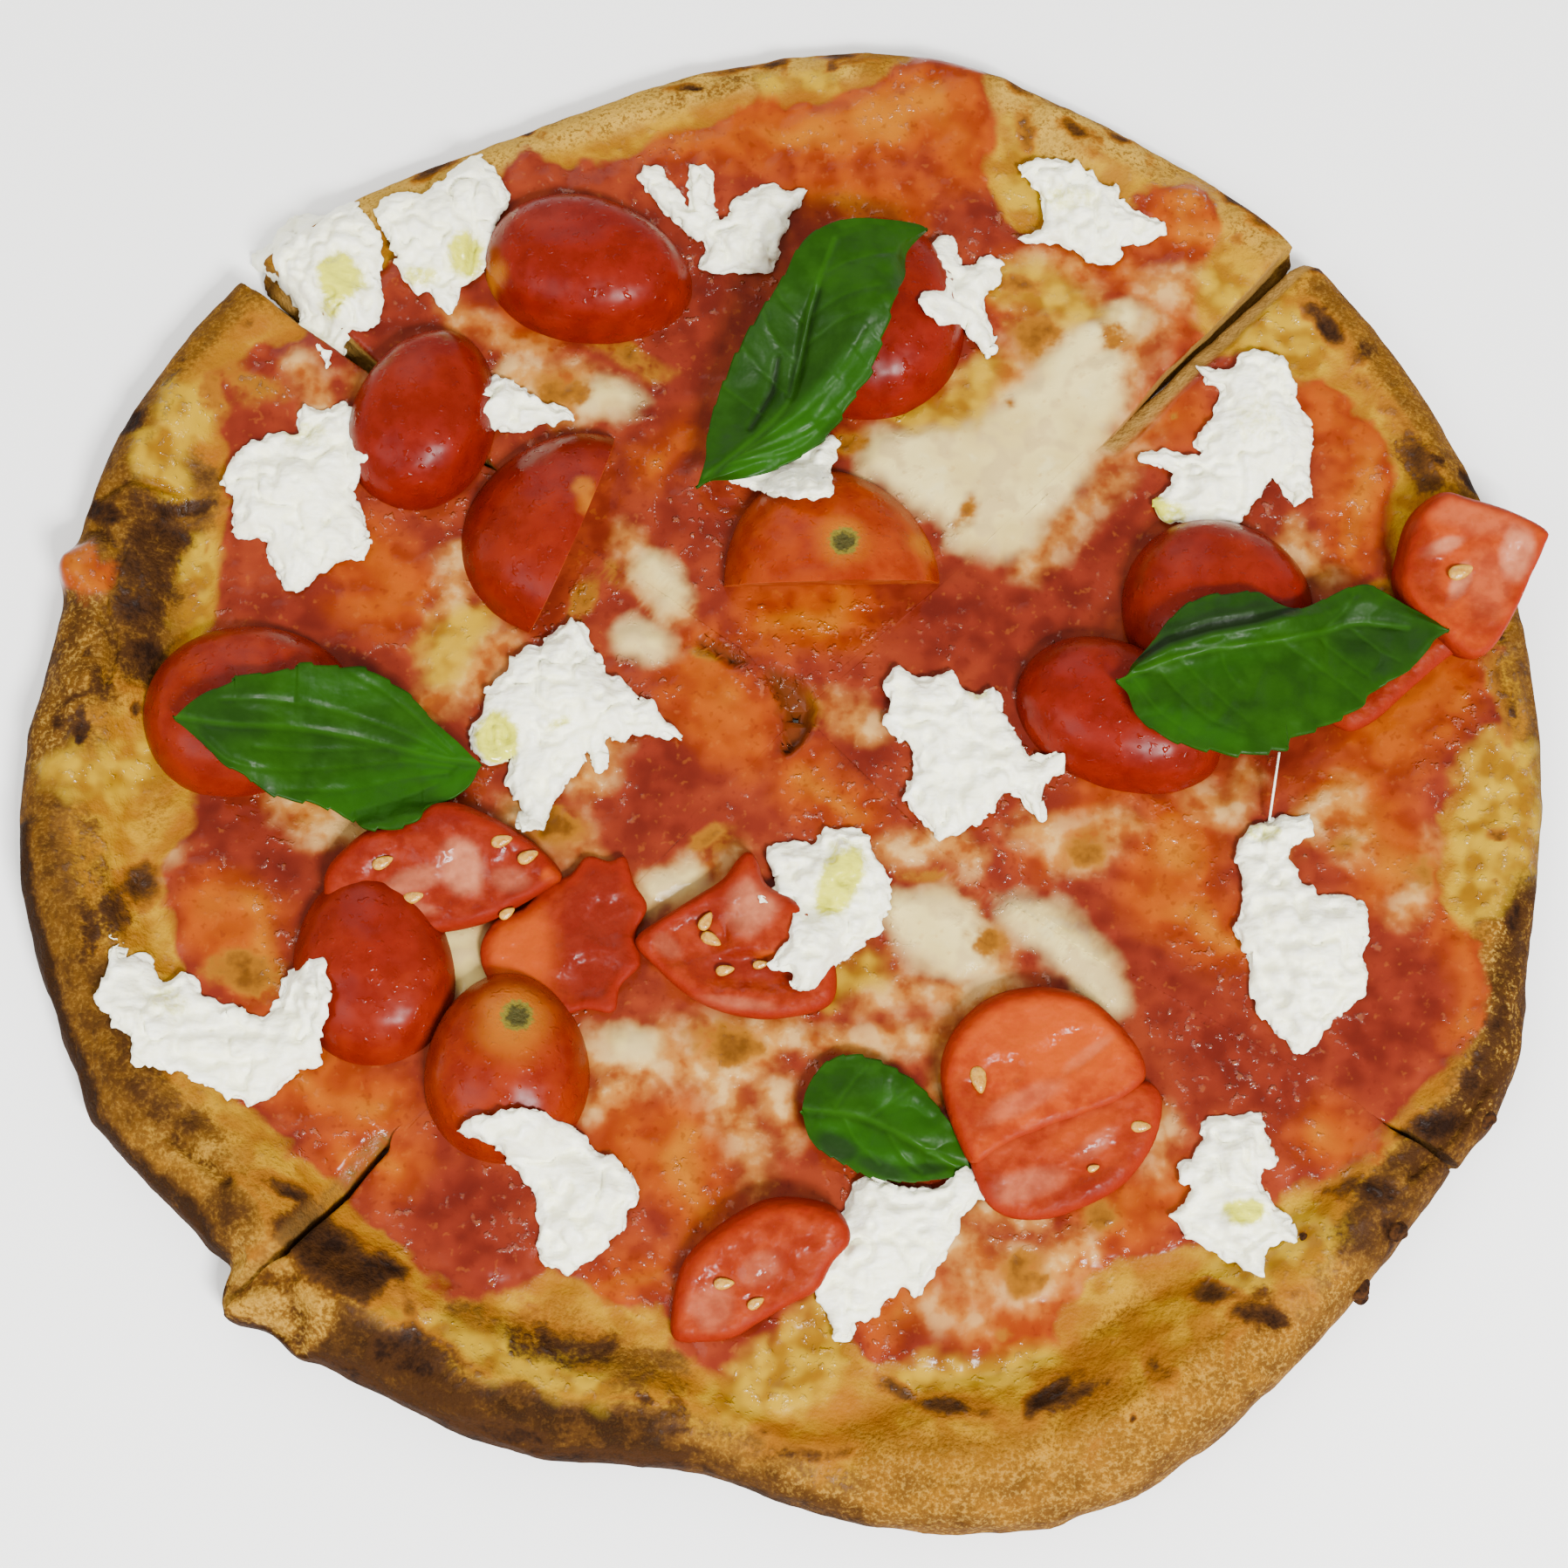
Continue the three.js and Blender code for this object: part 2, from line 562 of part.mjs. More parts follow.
// A thin blade over its midrib. Both faces share one pattern of triangles.
const leafGeometry = ({ midrib, fold }) => {
  const steps = 11;
  const acrossSteps = [-1, -0.55, 0, 0.55, 1];
  const curve = new THREE.CatmullRomCurve3(midrib.map(([x, y, half]) => new THREE.Vector3(x, y, half)));
  const stations = Array.from({ length: steps }, (_, i) => i / (steps - 1)).map((t) => {
    const at = curve.getPoint(t);
    const along = curve.getTangent(t).setZ(0).normalize();
    const half = Math.max(0.4, at.z);
    const rest = Math.max(
      ...[-0.8, -0.4, 0, 0.4, 0.8].map((v) => restHeight(at.x - along.y * v * half, at.y + along.x * v * half)),
    );
    return { x: at.x, y: at.y, half, along, rest };
  });
  // The blade is stiffer than what it lies on, so its height is a weighted mean of what is near.
  const heights = stations.map((_, i) => {
    const weights = stations.map((__, j) => bell(i - j, 1.7));
    const total = weights.reduce((a, b) => a + b);
    return stations.reduce((sum, station, j) => sum + station.rest * weights[j], 0) / total;
  });
  const face = (lift) =>
    stations.map(({ x, y, half, along }, i) =>
      acrossSteps.map((v) => {
        const wave = 0.35 * Math.sin(1.4 * i + 2 * v);
        const rise = fold * half * Math.abs(v) + (Math.abs(v) === 1 ? 0.3 : 0) + wave;
        return [x - along.y * v * half, y + along.x * v * half, heights[i] + rise + lift];
      }),
    );
  const upper = face(leafThickness);
  const lower = face(0);
  // Each station becomes one ring: over the top, then back across the underside.
  const rings = stations.map((_, i) => [...upper[i], ...lower[i].toReversed()]);
  const beyond = (ring, other) => {
    const mean = (k) => ring.reduce((sum, p) => sum + p[k], 0) / ring.length;
    const from = (k) => other.reduce((sum, p) => sum + p[k], 0) / other.length;
    return [0, 1, 2].map((k) => mean(k) + 0.06 * (mean(k) - from(k)));
  };
  return skinOver(beyond(rings[0], rings[1]), rings, beyond(rings.at(-1), rings.at(-2)));
};

// Raises a leaf until it is clear of what lies under it.
const settledLeaf = (leaf) => {
  const geometry = leafGeometry(leaf);
  const riseStep = 0.25;
  const reach = boxOf(geometry).clone();
  reach.max.z += 20;
  const obstacles = obstaclesNear(reach);
  while (solidOf(geometry).intersect(obstacles).volume() > 0) {
    geometry.translate(0, 0, riseStep);
  }
  addObstacle(geometry, withSwell(geometry));
  return geometry;
};

// ---- The pizza --------------------------------------------------------------------------------

const materials = {
  dough: new THREE.MeshStandardMaterial({ color: 0xc69553, roughness: 0.8, metalness: 0 }),
  sauce: new THREE.MeshStandardMaterial({ color: 0xb8401c, roughness: 0.35, metalness: 0 }),
  melted: new THREE.MeshStandardMaterial({ color: 0xe3cfa0, roughness: 0.4, metalness: 0 }),
  tomato: new THREE.MeshStandardMaterial({ color: 0xb92a18, roughness: 0.2, metalness: 0 }),
  mozzarella: new THREE.MeshStandardMaterial({ color: 0xecebe2, roughness: 0.5, metalness: 0 }),
  basil: new THREE.MeshStandardMaterial({ color: 0x2f6a1c, roughness: 0.35, metalness: 0 }),
};

const pizza = new THREE.Group();

const addPiece = (name, geometry, material) => {
  const mesh = new THREE.Mesh(geometry, material);
  mesh.name = name;
  pizza.add(mesh);
};

const dough = doughGeometry();
const sauce = sauceGeometry(dough);
for (const [place, slice] of Object.entries(slices)) {
  addPiece(`dough_${place}`, geometryOf(mainBody(solidOf(dough).intersect(slice))), materials.dough);
  addPiece(`sauce_${place}`, geometryOf(mainBody(solidOf(sauce).intersect(slice))), materials.sauce);
}
addObstacle(dough, withLift(dough));
addObstacle(sauce, withLift(sauce));

meltedCheese.forEach((points, i) => {
  addPiece(`melted_cheese_${i + 1}`, meltedGeometry(points), materials.melted);
});

tomatoes.forEach((tomato, i) => {
  addPiece(`tomato_${i + 1}`, tomatoGeometry(tomato), materials.tomato);
});

const addLeaf = (leaf, i) => addPiece(`basil_${i + 1}`, settledLeaf(leaf), materials.basil);

mozzarella.forEach((strokes, i) => {
  basil.forEach((leaf, k) => {
    if (leaf.before === i) addLeaf(leaf, k);
  });
  addPiece(`mozzarella_${i + 1}`, lumpGeometry(strokes), materials.mozzarella);
});
basil.forEach((leaf, k) => {
  if (leaf.before === undefined) addLeaf(leaf, k);
});

export default pizza;
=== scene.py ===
"""A margherita pizza in four slices, with tomato, torn mozzarella and basil laid over it.

Places on the pizza are in millimetres from the middle of the disc, with +Y away from the front.
Objects are in metres. A stroke is a soft brush line: x, y and half width at each of its points.
"""
import math

import bpy
import numpy as np
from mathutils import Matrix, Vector
from mathutils.bvhtree import BVHTree


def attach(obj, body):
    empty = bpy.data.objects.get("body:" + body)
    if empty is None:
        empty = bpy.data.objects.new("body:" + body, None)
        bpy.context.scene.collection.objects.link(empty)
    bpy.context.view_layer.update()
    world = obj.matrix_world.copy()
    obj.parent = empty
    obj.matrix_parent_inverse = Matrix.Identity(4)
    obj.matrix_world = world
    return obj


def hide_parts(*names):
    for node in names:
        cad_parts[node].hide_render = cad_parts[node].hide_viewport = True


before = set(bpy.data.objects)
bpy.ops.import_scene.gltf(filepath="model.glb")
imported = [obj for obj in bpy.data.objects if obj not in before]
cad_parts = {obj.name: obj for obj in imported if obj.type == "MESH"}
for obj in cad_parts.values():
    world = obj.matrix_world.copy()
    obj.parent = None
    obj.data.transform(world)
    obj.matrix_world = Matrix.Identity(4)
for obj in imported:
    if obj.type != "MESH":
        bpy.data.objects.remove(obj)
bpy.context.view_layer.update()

MM = 0.001

# ---- Where things lie on the pizza -------------------------------------------------------------

DISC_RADIUS = 133.5
RIM_MM_PER_DEGREE = 2.33
# Where the outline swells out or draws in: angle, spread in degrees, amount.
OUTLINE_SWELLS = [
    (50, 20, 1), (80, 12, 4), (112, 14, -5), (170, 8, -3.2), (193, 8, 1.5), (210, 5, 2), (221, 5, -2.5),
    (243, 9, -2.3), (262, 10, -7.5), (291, 14, 8), (312, 14, 2.5), (333, 7, 5),
]
CUT_CROSSING = (2, 5)
CUT_PATHS = [
    [(2, 5), (28, 28), (56, 55), (76, 75), (96, 94), (130, 127)],
    [(2, 5), (-8, 16), (-28, 31), (-70, 66), (-97, 88), (-125, 112)],
    [(2, 5), (-8, -6), (-40, -41), (-66, -71), (-81, -90), (-118, -128)],
    [(2, 5), (27, -21), (60, -43), (84, -58), (103, -70), (142, -94)],
]

SAUCE_OUTLINE = [
    (-48, 113), (-40, 110), (-30, 112), (-20, 117), (-10, 121), (-5, 124), (0, 123), (10, 124), (17, 126),
    (22, 130), (27, 133.5), (32, 133), (37, 129), (39, 122), (39, 115), (38, 105), (42, 98), (52, 96),
    (62, 99), (63, 103), (70, 106), (76, 107), (80, 105), (80, 97), (76, 86), (74, 79), (80, 72),
    (88, 70), (97, 67), (101, 64), (104, 59), (107, 55), (109, 50), (108, 44), (107, 38), (110, 24),
    (118, 18), (125, 15), (124, 8), (127, 2), (126, -3), (120, -10), (114, -14), (113, -20), (112, -30),
    (118, -38), (119, -45), (117, -52), (113, -58), (108, -63), (104, -67), (98, -76), (90, -79),
    (83, -80), (78, -86), (70, -89), (60, -91), (50, -94), (45, -104), (35, -108), (25, -110), (15, -107),
    (10, -103), (2, -102), (-2, -108), (-7, -116.5), (-10, -112), (-15, -106), (-20, -100), (-30, -97),
    (-40, -92), (-43, -96), (-50, -98), (-57, -96), (-62, -91), (-67, -86), (-72, -83), (-77, -77),
    (-82, -73), (-86, -69), (-92, -64), (-100, -52), (-104, -40), (-106, -30), (-108, -25), (-104, -20),
    (-103, -10), (-106, 0), (-104, 15), (-101, 25), (-100, 35), (-99, 45), (-100, 55), (-103, 60),
    (-104, 67), (-100, 70), (-95, 74), (-88, 75), (-82, 83), (-74, 90), (-66, 96), (-56, 104),
]

# Baked cheese that stayed white, and cheese that has taken up sauce.
WHITE_CHEESE = [
    [(18, 53, 4), (28, 51, 8), (38, 50, 11), (46, 56, 10), (53, 64, 8), (58, 70, 4)],
    [(34, 46, 7), (40, 39, 4.5), (33, 38, 3)], [(50, 70, 4), (56, 76, 3.5), (62, 79, 3)],
    [(40, -31, 2.2), (47, -35, 3.4), (52, -40, 3.6), (55, -46, 2)],
    [(20, -31, 3), (26, -34, 5.5), (31, -37, 4.5)], [(-57, -37, 4), (-54, -43, 3.5)],
    [(-26, 18.5, 2.8), (-23, 18, 2.8)], [(-24, 32, 2.4), (-20, 27, 2)],
    [(-22, -28, 1.8), (-16, -25, 1.6)], [(-28, -54, 2.0), (-24, -55, 1.6)], [(-34, 65, 2), (-29, 64, 2)],
]
BAKED_CHEESE = WHITE_CHEESE + [
    [(20, 54, 5), (30, 52, 9), (38, 50, 12), (47, 58, 12), (55, 67, 10), (64, 78, 7)],
    [(26, 62, 5), (38, 64, 8), (48, 74, 7), (54, 82, 6)], [(44, 33, 4), (50, 40, 4), (60, 50, 3)],
    [(29, -52, 3), (26, -62, 3)], [(44, 86, 5), (54, 90, 4)], [(-48, 68, 5), (-40, 65, 7), (-32, 65, 4)],
    [(-29, 37, 3), (-25, 32, 5), (-19, 25, 4)], [(-64, 6, 4), (-57, 13, 6), (-50, 18, 3.5)],
    [(-59, 36, 2.5), (-60, 24, 3.5)], [(-87, 70, 4), (-84, 64, 3)], [(-77, 67, 2.5), (-76, 66, 2)],
    [(-86, -12, 4), (-79, -16, 5), (-74, -17, 3)], [(-119, -13, 4), (-112, -16, 5.5), (-106, -20, 3)],
    [(-46, -13, 4), (-38, -18, 5), (-33, -23, 3)], [(-35, -8, 4), (-30, -1, 3)],
    [(-22, -28, 4), (-14, -24, 4), (-8, -19, 2.5)],
    [(-31, -56, 5), (-20, -56, 7), (-8, -56, 7), (0, -52, 4)],
    [(-12, -60, 5), (-7, -69, 3.5), (-4, -77, 3)], [(-32, -65, 3), (-26, -61, 4)],
    [(1, -53, 3), (15, -54, 4), (28, -53, 3)], [(-2, -62, 4), (0, -70, 3)],
    [(18, -20, 3), (28, -19, 4), (33, -22, 3)],
    [(20, -31, 4), (27, -33, 6.5), (34, -38, 6), (36, -44, 4)],
    [(14, -47, 3), (22, -45, 4), (31, -46, 4)], [(5, 6, 3), (11, 3, 4), (16, 1, 2.5)],
    [(42, -16, 3), (50, -19, 6), (60, -16, 4)], [(72, -10, 3), (78, -14, 4), (81, -8, 3)],
    [(105, -33, 3), (108, -28, 3)], [(112, -19, 3), (118, -23, 3)],
    [(28, -87, 4), (33, -94, 6), (42, -95, 6), (49, -89, 4)], [(24, -97, 3), (31, -101, 4)],
    [(33, -83, 3), (41, -84, 3.5)], [(66, 87, 4), (75, 84, 6), (84, 89, 5)],
    [(58, 51, 2.5), (66, 59, 2.5)], [(90, 37, 3), (95, 30, 3)],
    [(-60, 80, 2.5), (-51, 76, 3), (-44, 73, 3)], [(62, -76, 3), (64, -68, 2.5)],
    [(86, -20, 3), (97, -12, 4), (98, -22, 3)],
]

# Where the sauce is thin and baked orange, and where it is deep and dark.
THIN_SAUCE = [
    [(-124, 34, 6), (-121, 24, 6)],
    [(-26, 115, 4), (-6, 117, 7), (15, 118, 9), (30, 124, 8), (34, 110, 6)], [(6, 105, 5), (22, 103, 6)],
    [(75, 104, 6), (70, 98, 6), (80, 95, 6)], [(42, 87, 6), (54, 90, 5)],
    [(60, 91, 4), (68, 83, 4), (72, 77, 3)], [(97, 63, 5), (104, 52, 6), (102, 42, 6), (100, 34, 4)],
    [(62, 57, 4), (72, 62, 5)], [(106, 2, 10), (114, 8, 8)], [(99, -10, 8), (106, -26, 8)],
    [(69, -18, 8), (66, -28, 8), (76, -36, 6)], [(115, -36, 5), (114, -52, 4)],
    [(-75, 34, 7), (-68, 27, 7), (-80, 22, 5)], [(-10, 4, 9), (-15, 14, 7), (-6, -3, 4)],
    [(4, -7, 6), (12, -14, 5)], [(-2, 22, 6), (9, 24, 7)], [(-94, -32, 10), (-89, -42, 6)],
    [(-80, -60, 7), (-68, -65, 6)], [(-18, -72, 9), (-14, -82, 5)], [(-27, -66, 5), (-27, -75, 5)],
    [(56, -84, 7), (64, -78, 5)], [(50, -92, 5), (40, -102, 5), (20, -100, 6)],
    [(90, -70, 6), (97, -74, 3)], [(-30, -96, 4), (-22, -93, 4)], [(-64, -76, 5), (-74, -74, 4)],
    [(-57, 80, 4), (-45, 76, 4)], [(-24, 52, 4), (-18, 58, 4)], [(56, -10, 4), (46, -22, 4)],
]
DEEP_SAUCE = [
    [(-83, 80, 3), (-77, 74, 5), (-68, 80, 4)], [(-60, 88, 4), (-54, 84, 3)],
    [(-96, 58, 4), (-92, 56, 3)], [(-88, 22, 6), (-75, 12, 6)],
    [(-22, 98, 5), (-14, 88, 5), (-20, 72, 6), (-24, 60, 4)], [(-14, 40, 4), (-18, 44, 3)],
    [(36, 99, 4), (42, 95, 3)], [(28, 22, 8), (45, 22, 8), (54, 35, 7), (64, 47, 4)],
    [(20, 8, 4), (14, -3, 5)], [(44, 2, 5), (40, 14, 5)], [(90, -3, 5), (84, -6, 3)],
    [(105, -47, 8), (97, -58, 6)], [(48, -27, 3), (57, -36, 4), (68, -45, 5), (74, -56, 8)],
    [(84, -62, 6), (88, -58, 4)], [(-53, -84, 9), (-49, -91, 6)], [(-5, -105, 4.5), (-7, -112, 2.5)],
    [(23, -104, 4), (27, -107, 2)], [(-99, -12, 6), (-92, -20, 6), (-84, -27, 4)],
    [(-21, -6, 7), (-25, -14, 5), (-12, -17, 4)], [(-86, -35, 2), (-80, -52, 3)],
    [(122, 2, 3), (119, -4, 3)], [(88, 48, 4), (84, 42, 3)],
]

# Drops of sauce on the bare rim.
SAUCE_SPOTS = [[(-125, 32, 3.2), (-121, 27, 3.5)], [(-124, 28, 3), (-121, 25, 2)]]

# Oil on the sauce and along the rim.
OIL_POOLS = [
    [(-107, 61, 5), (-110, 54, 4)], [(-104, 34, 2.5), (-106, 23, 3)],
    [(-60, 13, 3), (-59, 18, 4.2), (-56, 22, 3.2)], [(-63, -101, 1.8), (-46, -106, 3), (-30, -112, 2.6)],
    [(6, -103, 5), (0, -110, 6), (-9, -114, 4)], [(124, -6, 6), (123, -20, 7), (118, -29, 4)],
    [(86, 79, 6), (78, 86, 4), (93, 74, 5)], [(-126, -8, 3), (-118, -9, 4), (-110, -4, 4)],
    [(20, -111, 3), (40, -108, 4)], [(74, -91, 5), (88, -87, 5)], [(44, 118, 2), (46, 104, 4)],
    [(22, 61, 3), (32, 63, 4.5), (38, 70, 3)], [(40, 87, 3), (49, 84, 5), (57, 80, 3)],
    [(-112, 52, 4), (-108, 45, 3)], [(-3, 126, 2), (8, 129, 2.5)], [(15, -41, 3), (8, -44, 2)],
]

# Toasted patches: x, y, length, width, turn in degrees, how dark from 0 to 1.
TOASTED = [
    (-40, 66, 8, 6, 0, 0.6), (46, 77, 10, 8, 60, 0.6), (60, 76, 7, 6, 0, 0.5),
    (40.5, 63, 3.5, 3, 0, 0.45), (44, 86, 9, 4, -15, 0.75), (12, 56, 8, 5, 20, 0.6),
    (33, 42, 8, 4, 60, 0.45), (36, -36, 7, 6, 0, 0.6), (52, -20, 9, 8, 20, 0.55),
    (-10, -54, 11, 8, -10, 0.7), (-39, -16, 8, 6, -20, 0.85), (39, -92, 7.5, 6.5, 0, 0.85),
    (53, -84, 6, 5, 0, 0.6), (110, -25, 8, 7, 0, 0.55), (26, -25, 9, 2.5, -5, 0.6),
    (-13, -18, 9, 4, 30, 0.7), (5, 5, 7, 4, -40, 0.8), (-30, 30, 7, 3, -60, 0.5), (97, -20, 5, 5, 0, 0.4),
    (105, 27, 6, 3, 0, 0.6), (-98, 66, 14, 6, -10, 0.5), (-91, -43, 14, 7, -15, 0.7),
    (-28, 72, 14, 5, -25, 0.5), (0, 78, 8, 5, 0, 0.4), (-36, 26, 9, 4, 60, 0.6),
    (-14, 16, 6, 2.5, -20, 0.8), (-111, -27, 6.5, 7.5, 0, 0.85), (-118, -36, 5, 16, 12, 0.75),
    (-112, -51, 5, 14, 25, 0.5), (-104, -61, 9, 5, -30, 0.65), (-95, -76, 14, 4, -28, 0.7),
    (-90, -84, 24, 9, -25, 0.55), (-82, -80.5, 11, 3.5, -25, 0.9), (-69, -94, 19, 9, -28, 0.96),
    (-74, -89, 8, 5, -10, 0.9), (-60, -108, 24, 9, -28, 0.9), (-45, -119, 30, 6, -12, 0.85),
    (-37, -105, 17, 8, -28, 0.75), (-22, -115, 16, 7, -25, 0.45), (0, -123, 24, 4, 5, 0.6),
    (-3, -119, 8, 4, 15, 0.5), (27, -115, 16, 4, -8, 0.7), (44, -113, 12, 4.5, 35, 0.9),
    (18, -112, 9, 3, -35, 0.6), (60, -109, 5, 10, 10, 0.6), (70, -97, 7, 4, -10, 0.75),
    (78, -101, 12, 5, -10, 0.9), (84, -97, 8, 5, 0, 0.5), (98, -81, 14, 10, -10, 0.9),
    (92, -90, 8, 5, 0, 0.5), (108, -69, 14, 6, 15, 0.92), (115, -61, 12, 6, 60, 0.85),
    (121, -50, 14, 4, 75, 0.85), (119, -44, 9, 3, 80, 0.7), (126, -32, 10, 6, 60, 0.88),
    (127, 3, 8, 3.5, 85, 0.85), (126, 18, 16, 5, 80, 0.8), (130, 12, 8, 4, 80, 0.5),
    (116, 51, 6, 4, -30, 0.9), (123, 47, 10, 4, -50, 0.9), (99, 77, 9, 4, -60, 0.85),
    (105, 73, 7, 6, 0, 0.75), (97, 80, 6, 4, 0, 0.7), (104, 66, 10, 5, -40, 0.45),
    (110, 60, 12, 5, -50, 0.4), (85, 102, 12, 5, -35, 0.75), (88, 98, 9, 5, -30, 0.5),
    (47, 127, 10, 6, -20, 0.65), (54, 117, 6, 4, -20, 0.75), (45, 118, 4, 12, 5, 0.45),
    (63, 116, 6, 3, -30, 0.65), (52, 124, 8, 3, -30, 0.6), (-16, 126, 10, 2.5, 6, 0.8),
    (-9, 131, 12, 3, 10, 0.5), (10, 134, 10, 3, 5, 0.6), (14, 132, 8, 3, 0, 0.4),
    (-2, 132, 6, 4, 20, 0.7), (20, 135.5, 5, 2, 0, 0.8), (-66, 110, 12, 4, 38, 0.75),
    (-48, 118.5, 3, 3, 0, 0.8), (-117, 58, 8, 6, 50, 0.95), (-122, 52, 7, 12, -25, 0.65),
    (-121, 41, 14, 5, -20, 0.92), (-108, 42, 14, 4, 10, 0.92), (-111, 37, 12, 7, -10, 0.95),
    (-114, 31, 9, 9, 0, 0.85), (-114, 22, 8, 10, 0, 0.8), (-113, 14, 12, 10, 0, 0.92),
    (-109, 27, 6, 12, 10, 0.7), (-122, 6, 14, 3, 30, 0.75), (-126, 1, 3.5, 4, 0, 0.9),
    (-102, 65, 5, 8, 0, 0.6), (-97, 77, 5, 5, 0, 0.45), (-100, 68, 12, 4, 60, 0.5),
    (-110, 66, 14, 2.5, 50, 0.55), (-124, -16, 6, 3, 60, 0.5), (-120, -30, 5, 5, 0, 0.4),
    (103, 85, 4, 4, 0, 0.7), (56, -117, 1.2, 1.2, 0, 1), (85.5, -87.5, 1.2, 1.2, 0, 1),
    (70.5, 61, 1.3, 1, 0, 0.95), (100, -86, 6, 8, -20, 0.95), (127, -20, 5, 4, 0, 0.45),
    (129, -7, 3, 3, 0, 0.4), (97, -97, 4, 4, 0, 0.8), (110, -78, 12, 5, 30, 0.6),
    (36, -103, 3, 2, 0, 0.5),
]

# Baking around the rim: from and to angle, from and to mm in from the edge, strength from 0 to 1.
RIM_BROWN = [
    (225, 234, -9, 2.5, 0.8), (229, 234, 3, 9, 0.35), (219, 225, -9, 3.5, 1.6), (234, 263, -9, 3.5, 1.6),
    (168, 186, -9, 3, 1.0), (263, 276, -9, 2, 1.1), (138, 160, -9, 8, 0.5), (150, 176, -9, 9, 0.75),
    (154, 175, 8, 22, 0.75), (172, 200, 9, 16, 0.4), (174, 188, -9, 12, 0.7), (184, 213, -9, 11, 0.7),
    (186, 214, -9, 4, 1.5), (200, 217, 8, 15, 0.8), (206, 224, -9, 4.5, 1.3), (211, 222, 4, 14, 0.35),
    (221, 225, -9, 11, 0.9), (234, 238, -9, 11, 1.1), (236, 262, -9, 10, 1.2), (240, 262, 12, 20, 0.55),
    (258, 276, -9, 4, 0.9), (262, 278, 3, 9, 0.35), (274, 320, -9, 4, 0.6), (276, 318, 3, 10, 0.3),
    (294, 306, -9, 5, 0.6), (316, 331, -9, 11, 0.85), (329, 350, -9, 8, 1.0), (330, 348, 7, 12, 0.5),
    (342, 373, -9, 4, 0.75), (350, 373, -9, 7, 0.4), (10, 42, -9, 7, 0.5), (62, 76, -9, 3, 0.35),
    (90, 101, 3, 8, 0.3), (138, 150, -9, 4, 0.4),
]
RIM_CHAR = [
    (316, 324, 4, 11, 0.65), (323, 334, 1, 10, 0.7), (333, 350, 0, 6, 0.5), (180, 224, -9, 1.5, 0.7),
    (236, 264, -9, 1.5, 0.7), (159, 172, 10, 19, 0.8), (174, 178, 11, 16, 0.6), (182, 214, -9, 1.2, 0.85),
    (226, 264, -9, 3, 0.9), (237, 248, 2, 9, 0.7), (225, 236, 11, 19, 0.9), (246, 255, 15, 21, 0.7),
    (194, 198, 13, 18, 0.7), (204, 216, 9, 13, 0.45), (330, 348, -9, 1.5, 0.6), (322, 338, 3, 9, 0.6),
    (306, 309, 6, 14, 0.6), (290, 295, 17, 20, 0.7), (21, 26, 7, 12, 0.6), (0, 7, 5, 8, 0.5),
    (150, 156, 7, 9, 0.5), (264, 274, -9, -0.5, 0.6),
]
RIM_PALE = [
    (225, 234, -9, 11, 0.35), (84, 129, -9, 9, 0.9), (213, 221, 7, 15, 0.4), (58, 73, 1, 14, 0.8),
    (92, 103, 0, 9, 0.9), (168, 182, 0, 9, 0.2), (45, 60, -4, 9, 0.5),
]
RIM_FLOUR = [
    (225, 234, -9, 10, 0.5), (329, 349, 1, 10, 1.0), (270, 315, -9, 13, 0.4), (168, 183, -9, 11, 0.5),
    (84, 130, -9, 8, 0.5),
]
# Where dark blots are scattered.
RIM_BLOTS = [
    (326, 352, -9, 12, 1.0), (312, 328, 2, 12, 0.8), (276, 312, 4, 12, 0.45), (236, 264, -9, 14, 0.9),
    (188, 214, 8, 15, 0.45), (140, 182, 2, 20, 0.9), (84, 108, 0, 8, 0.6), (14, 44, -9, 10, 0.8),
    (48, 80, 0, 10, 0.45), (0, 14, -9, 7, 0.5), (352, 361, -9, 8, 0.5), (108, 140, 0, 7, 0.35),
]
RIM_GOLD = [
    (261, 276, 5, 27, 0.9), (235, 263, 9, 15, 0.9), (348, 367, 2, 16, 0.9), (309, 323, 5, 22, 0.8),
    (19, 48, 8, 30, 0.8), (49, 63, 8, 32, 0.8), (178, 193, 8, 23, 0.8), (148, 160, 10, 26, 0.9),
    (296, 311, 14, 25, 0.6), (269, 299, 16, 25, 0.6), (193, 215, 12, 22, 0.5), (216, 226, 14, 22, 0.4),
]

# ---- Small mathematics -------------------------------------------------------------------------


def cell_value(x, y, z, seed):
    """A random number from 0 to 1 for each whole-numbered cell."""
    mixed = (x * 73856093) ^ (y * 19349663) ^ (z * 83492791) ^ (seed * 2654435761)
    mixed &= 0xFFFFFFFF
    mixed = ((mixed ^ (mixed >> 13)) * 1274126177) & 0xFFFFFFFF
    return ((mixed ^ (mixed >> 16)) & 0xFFFFFF) / 0xFFFFFF


def noise(places, size, seed):
    """Smooth noise from -1 to 1 with lumps as wide as the size, in mm."""
    spot = places / size
    cell = np.floor(spot).astype(np.int64)
    t = spot - cell
    t = t * t * (3 - 2 * t)
    total = np.zeros(len(places))
    for corner in range(8):
        step = [corner & 1, corner >> 1 & 1, corner >> 2]
        weight = np.prod([t[:, k] if step[k] else 1 - t[:, k] for k in range(3)], axis=0)
        total += weight * cell_value(*(cell[:, k] + step[k] for k in range(3)), seed)
    return 2 * total - 1


def rough_noise(places, size, seed, octaves=4):
    """Noise with finer and finer lumps on it."""
    layers = [noise(places, size / 2**k, seed + 17 * k) / 2**k for k in range(octaves)]
    return sum(layers) / 1.7


def ramp(value, low, high):
    """0 below low, 1 above high, and a smooth rise between."""
    t = np.clip((value - low) / (high - low), 0, 1)
    return t * t * (3 - 2 * t)


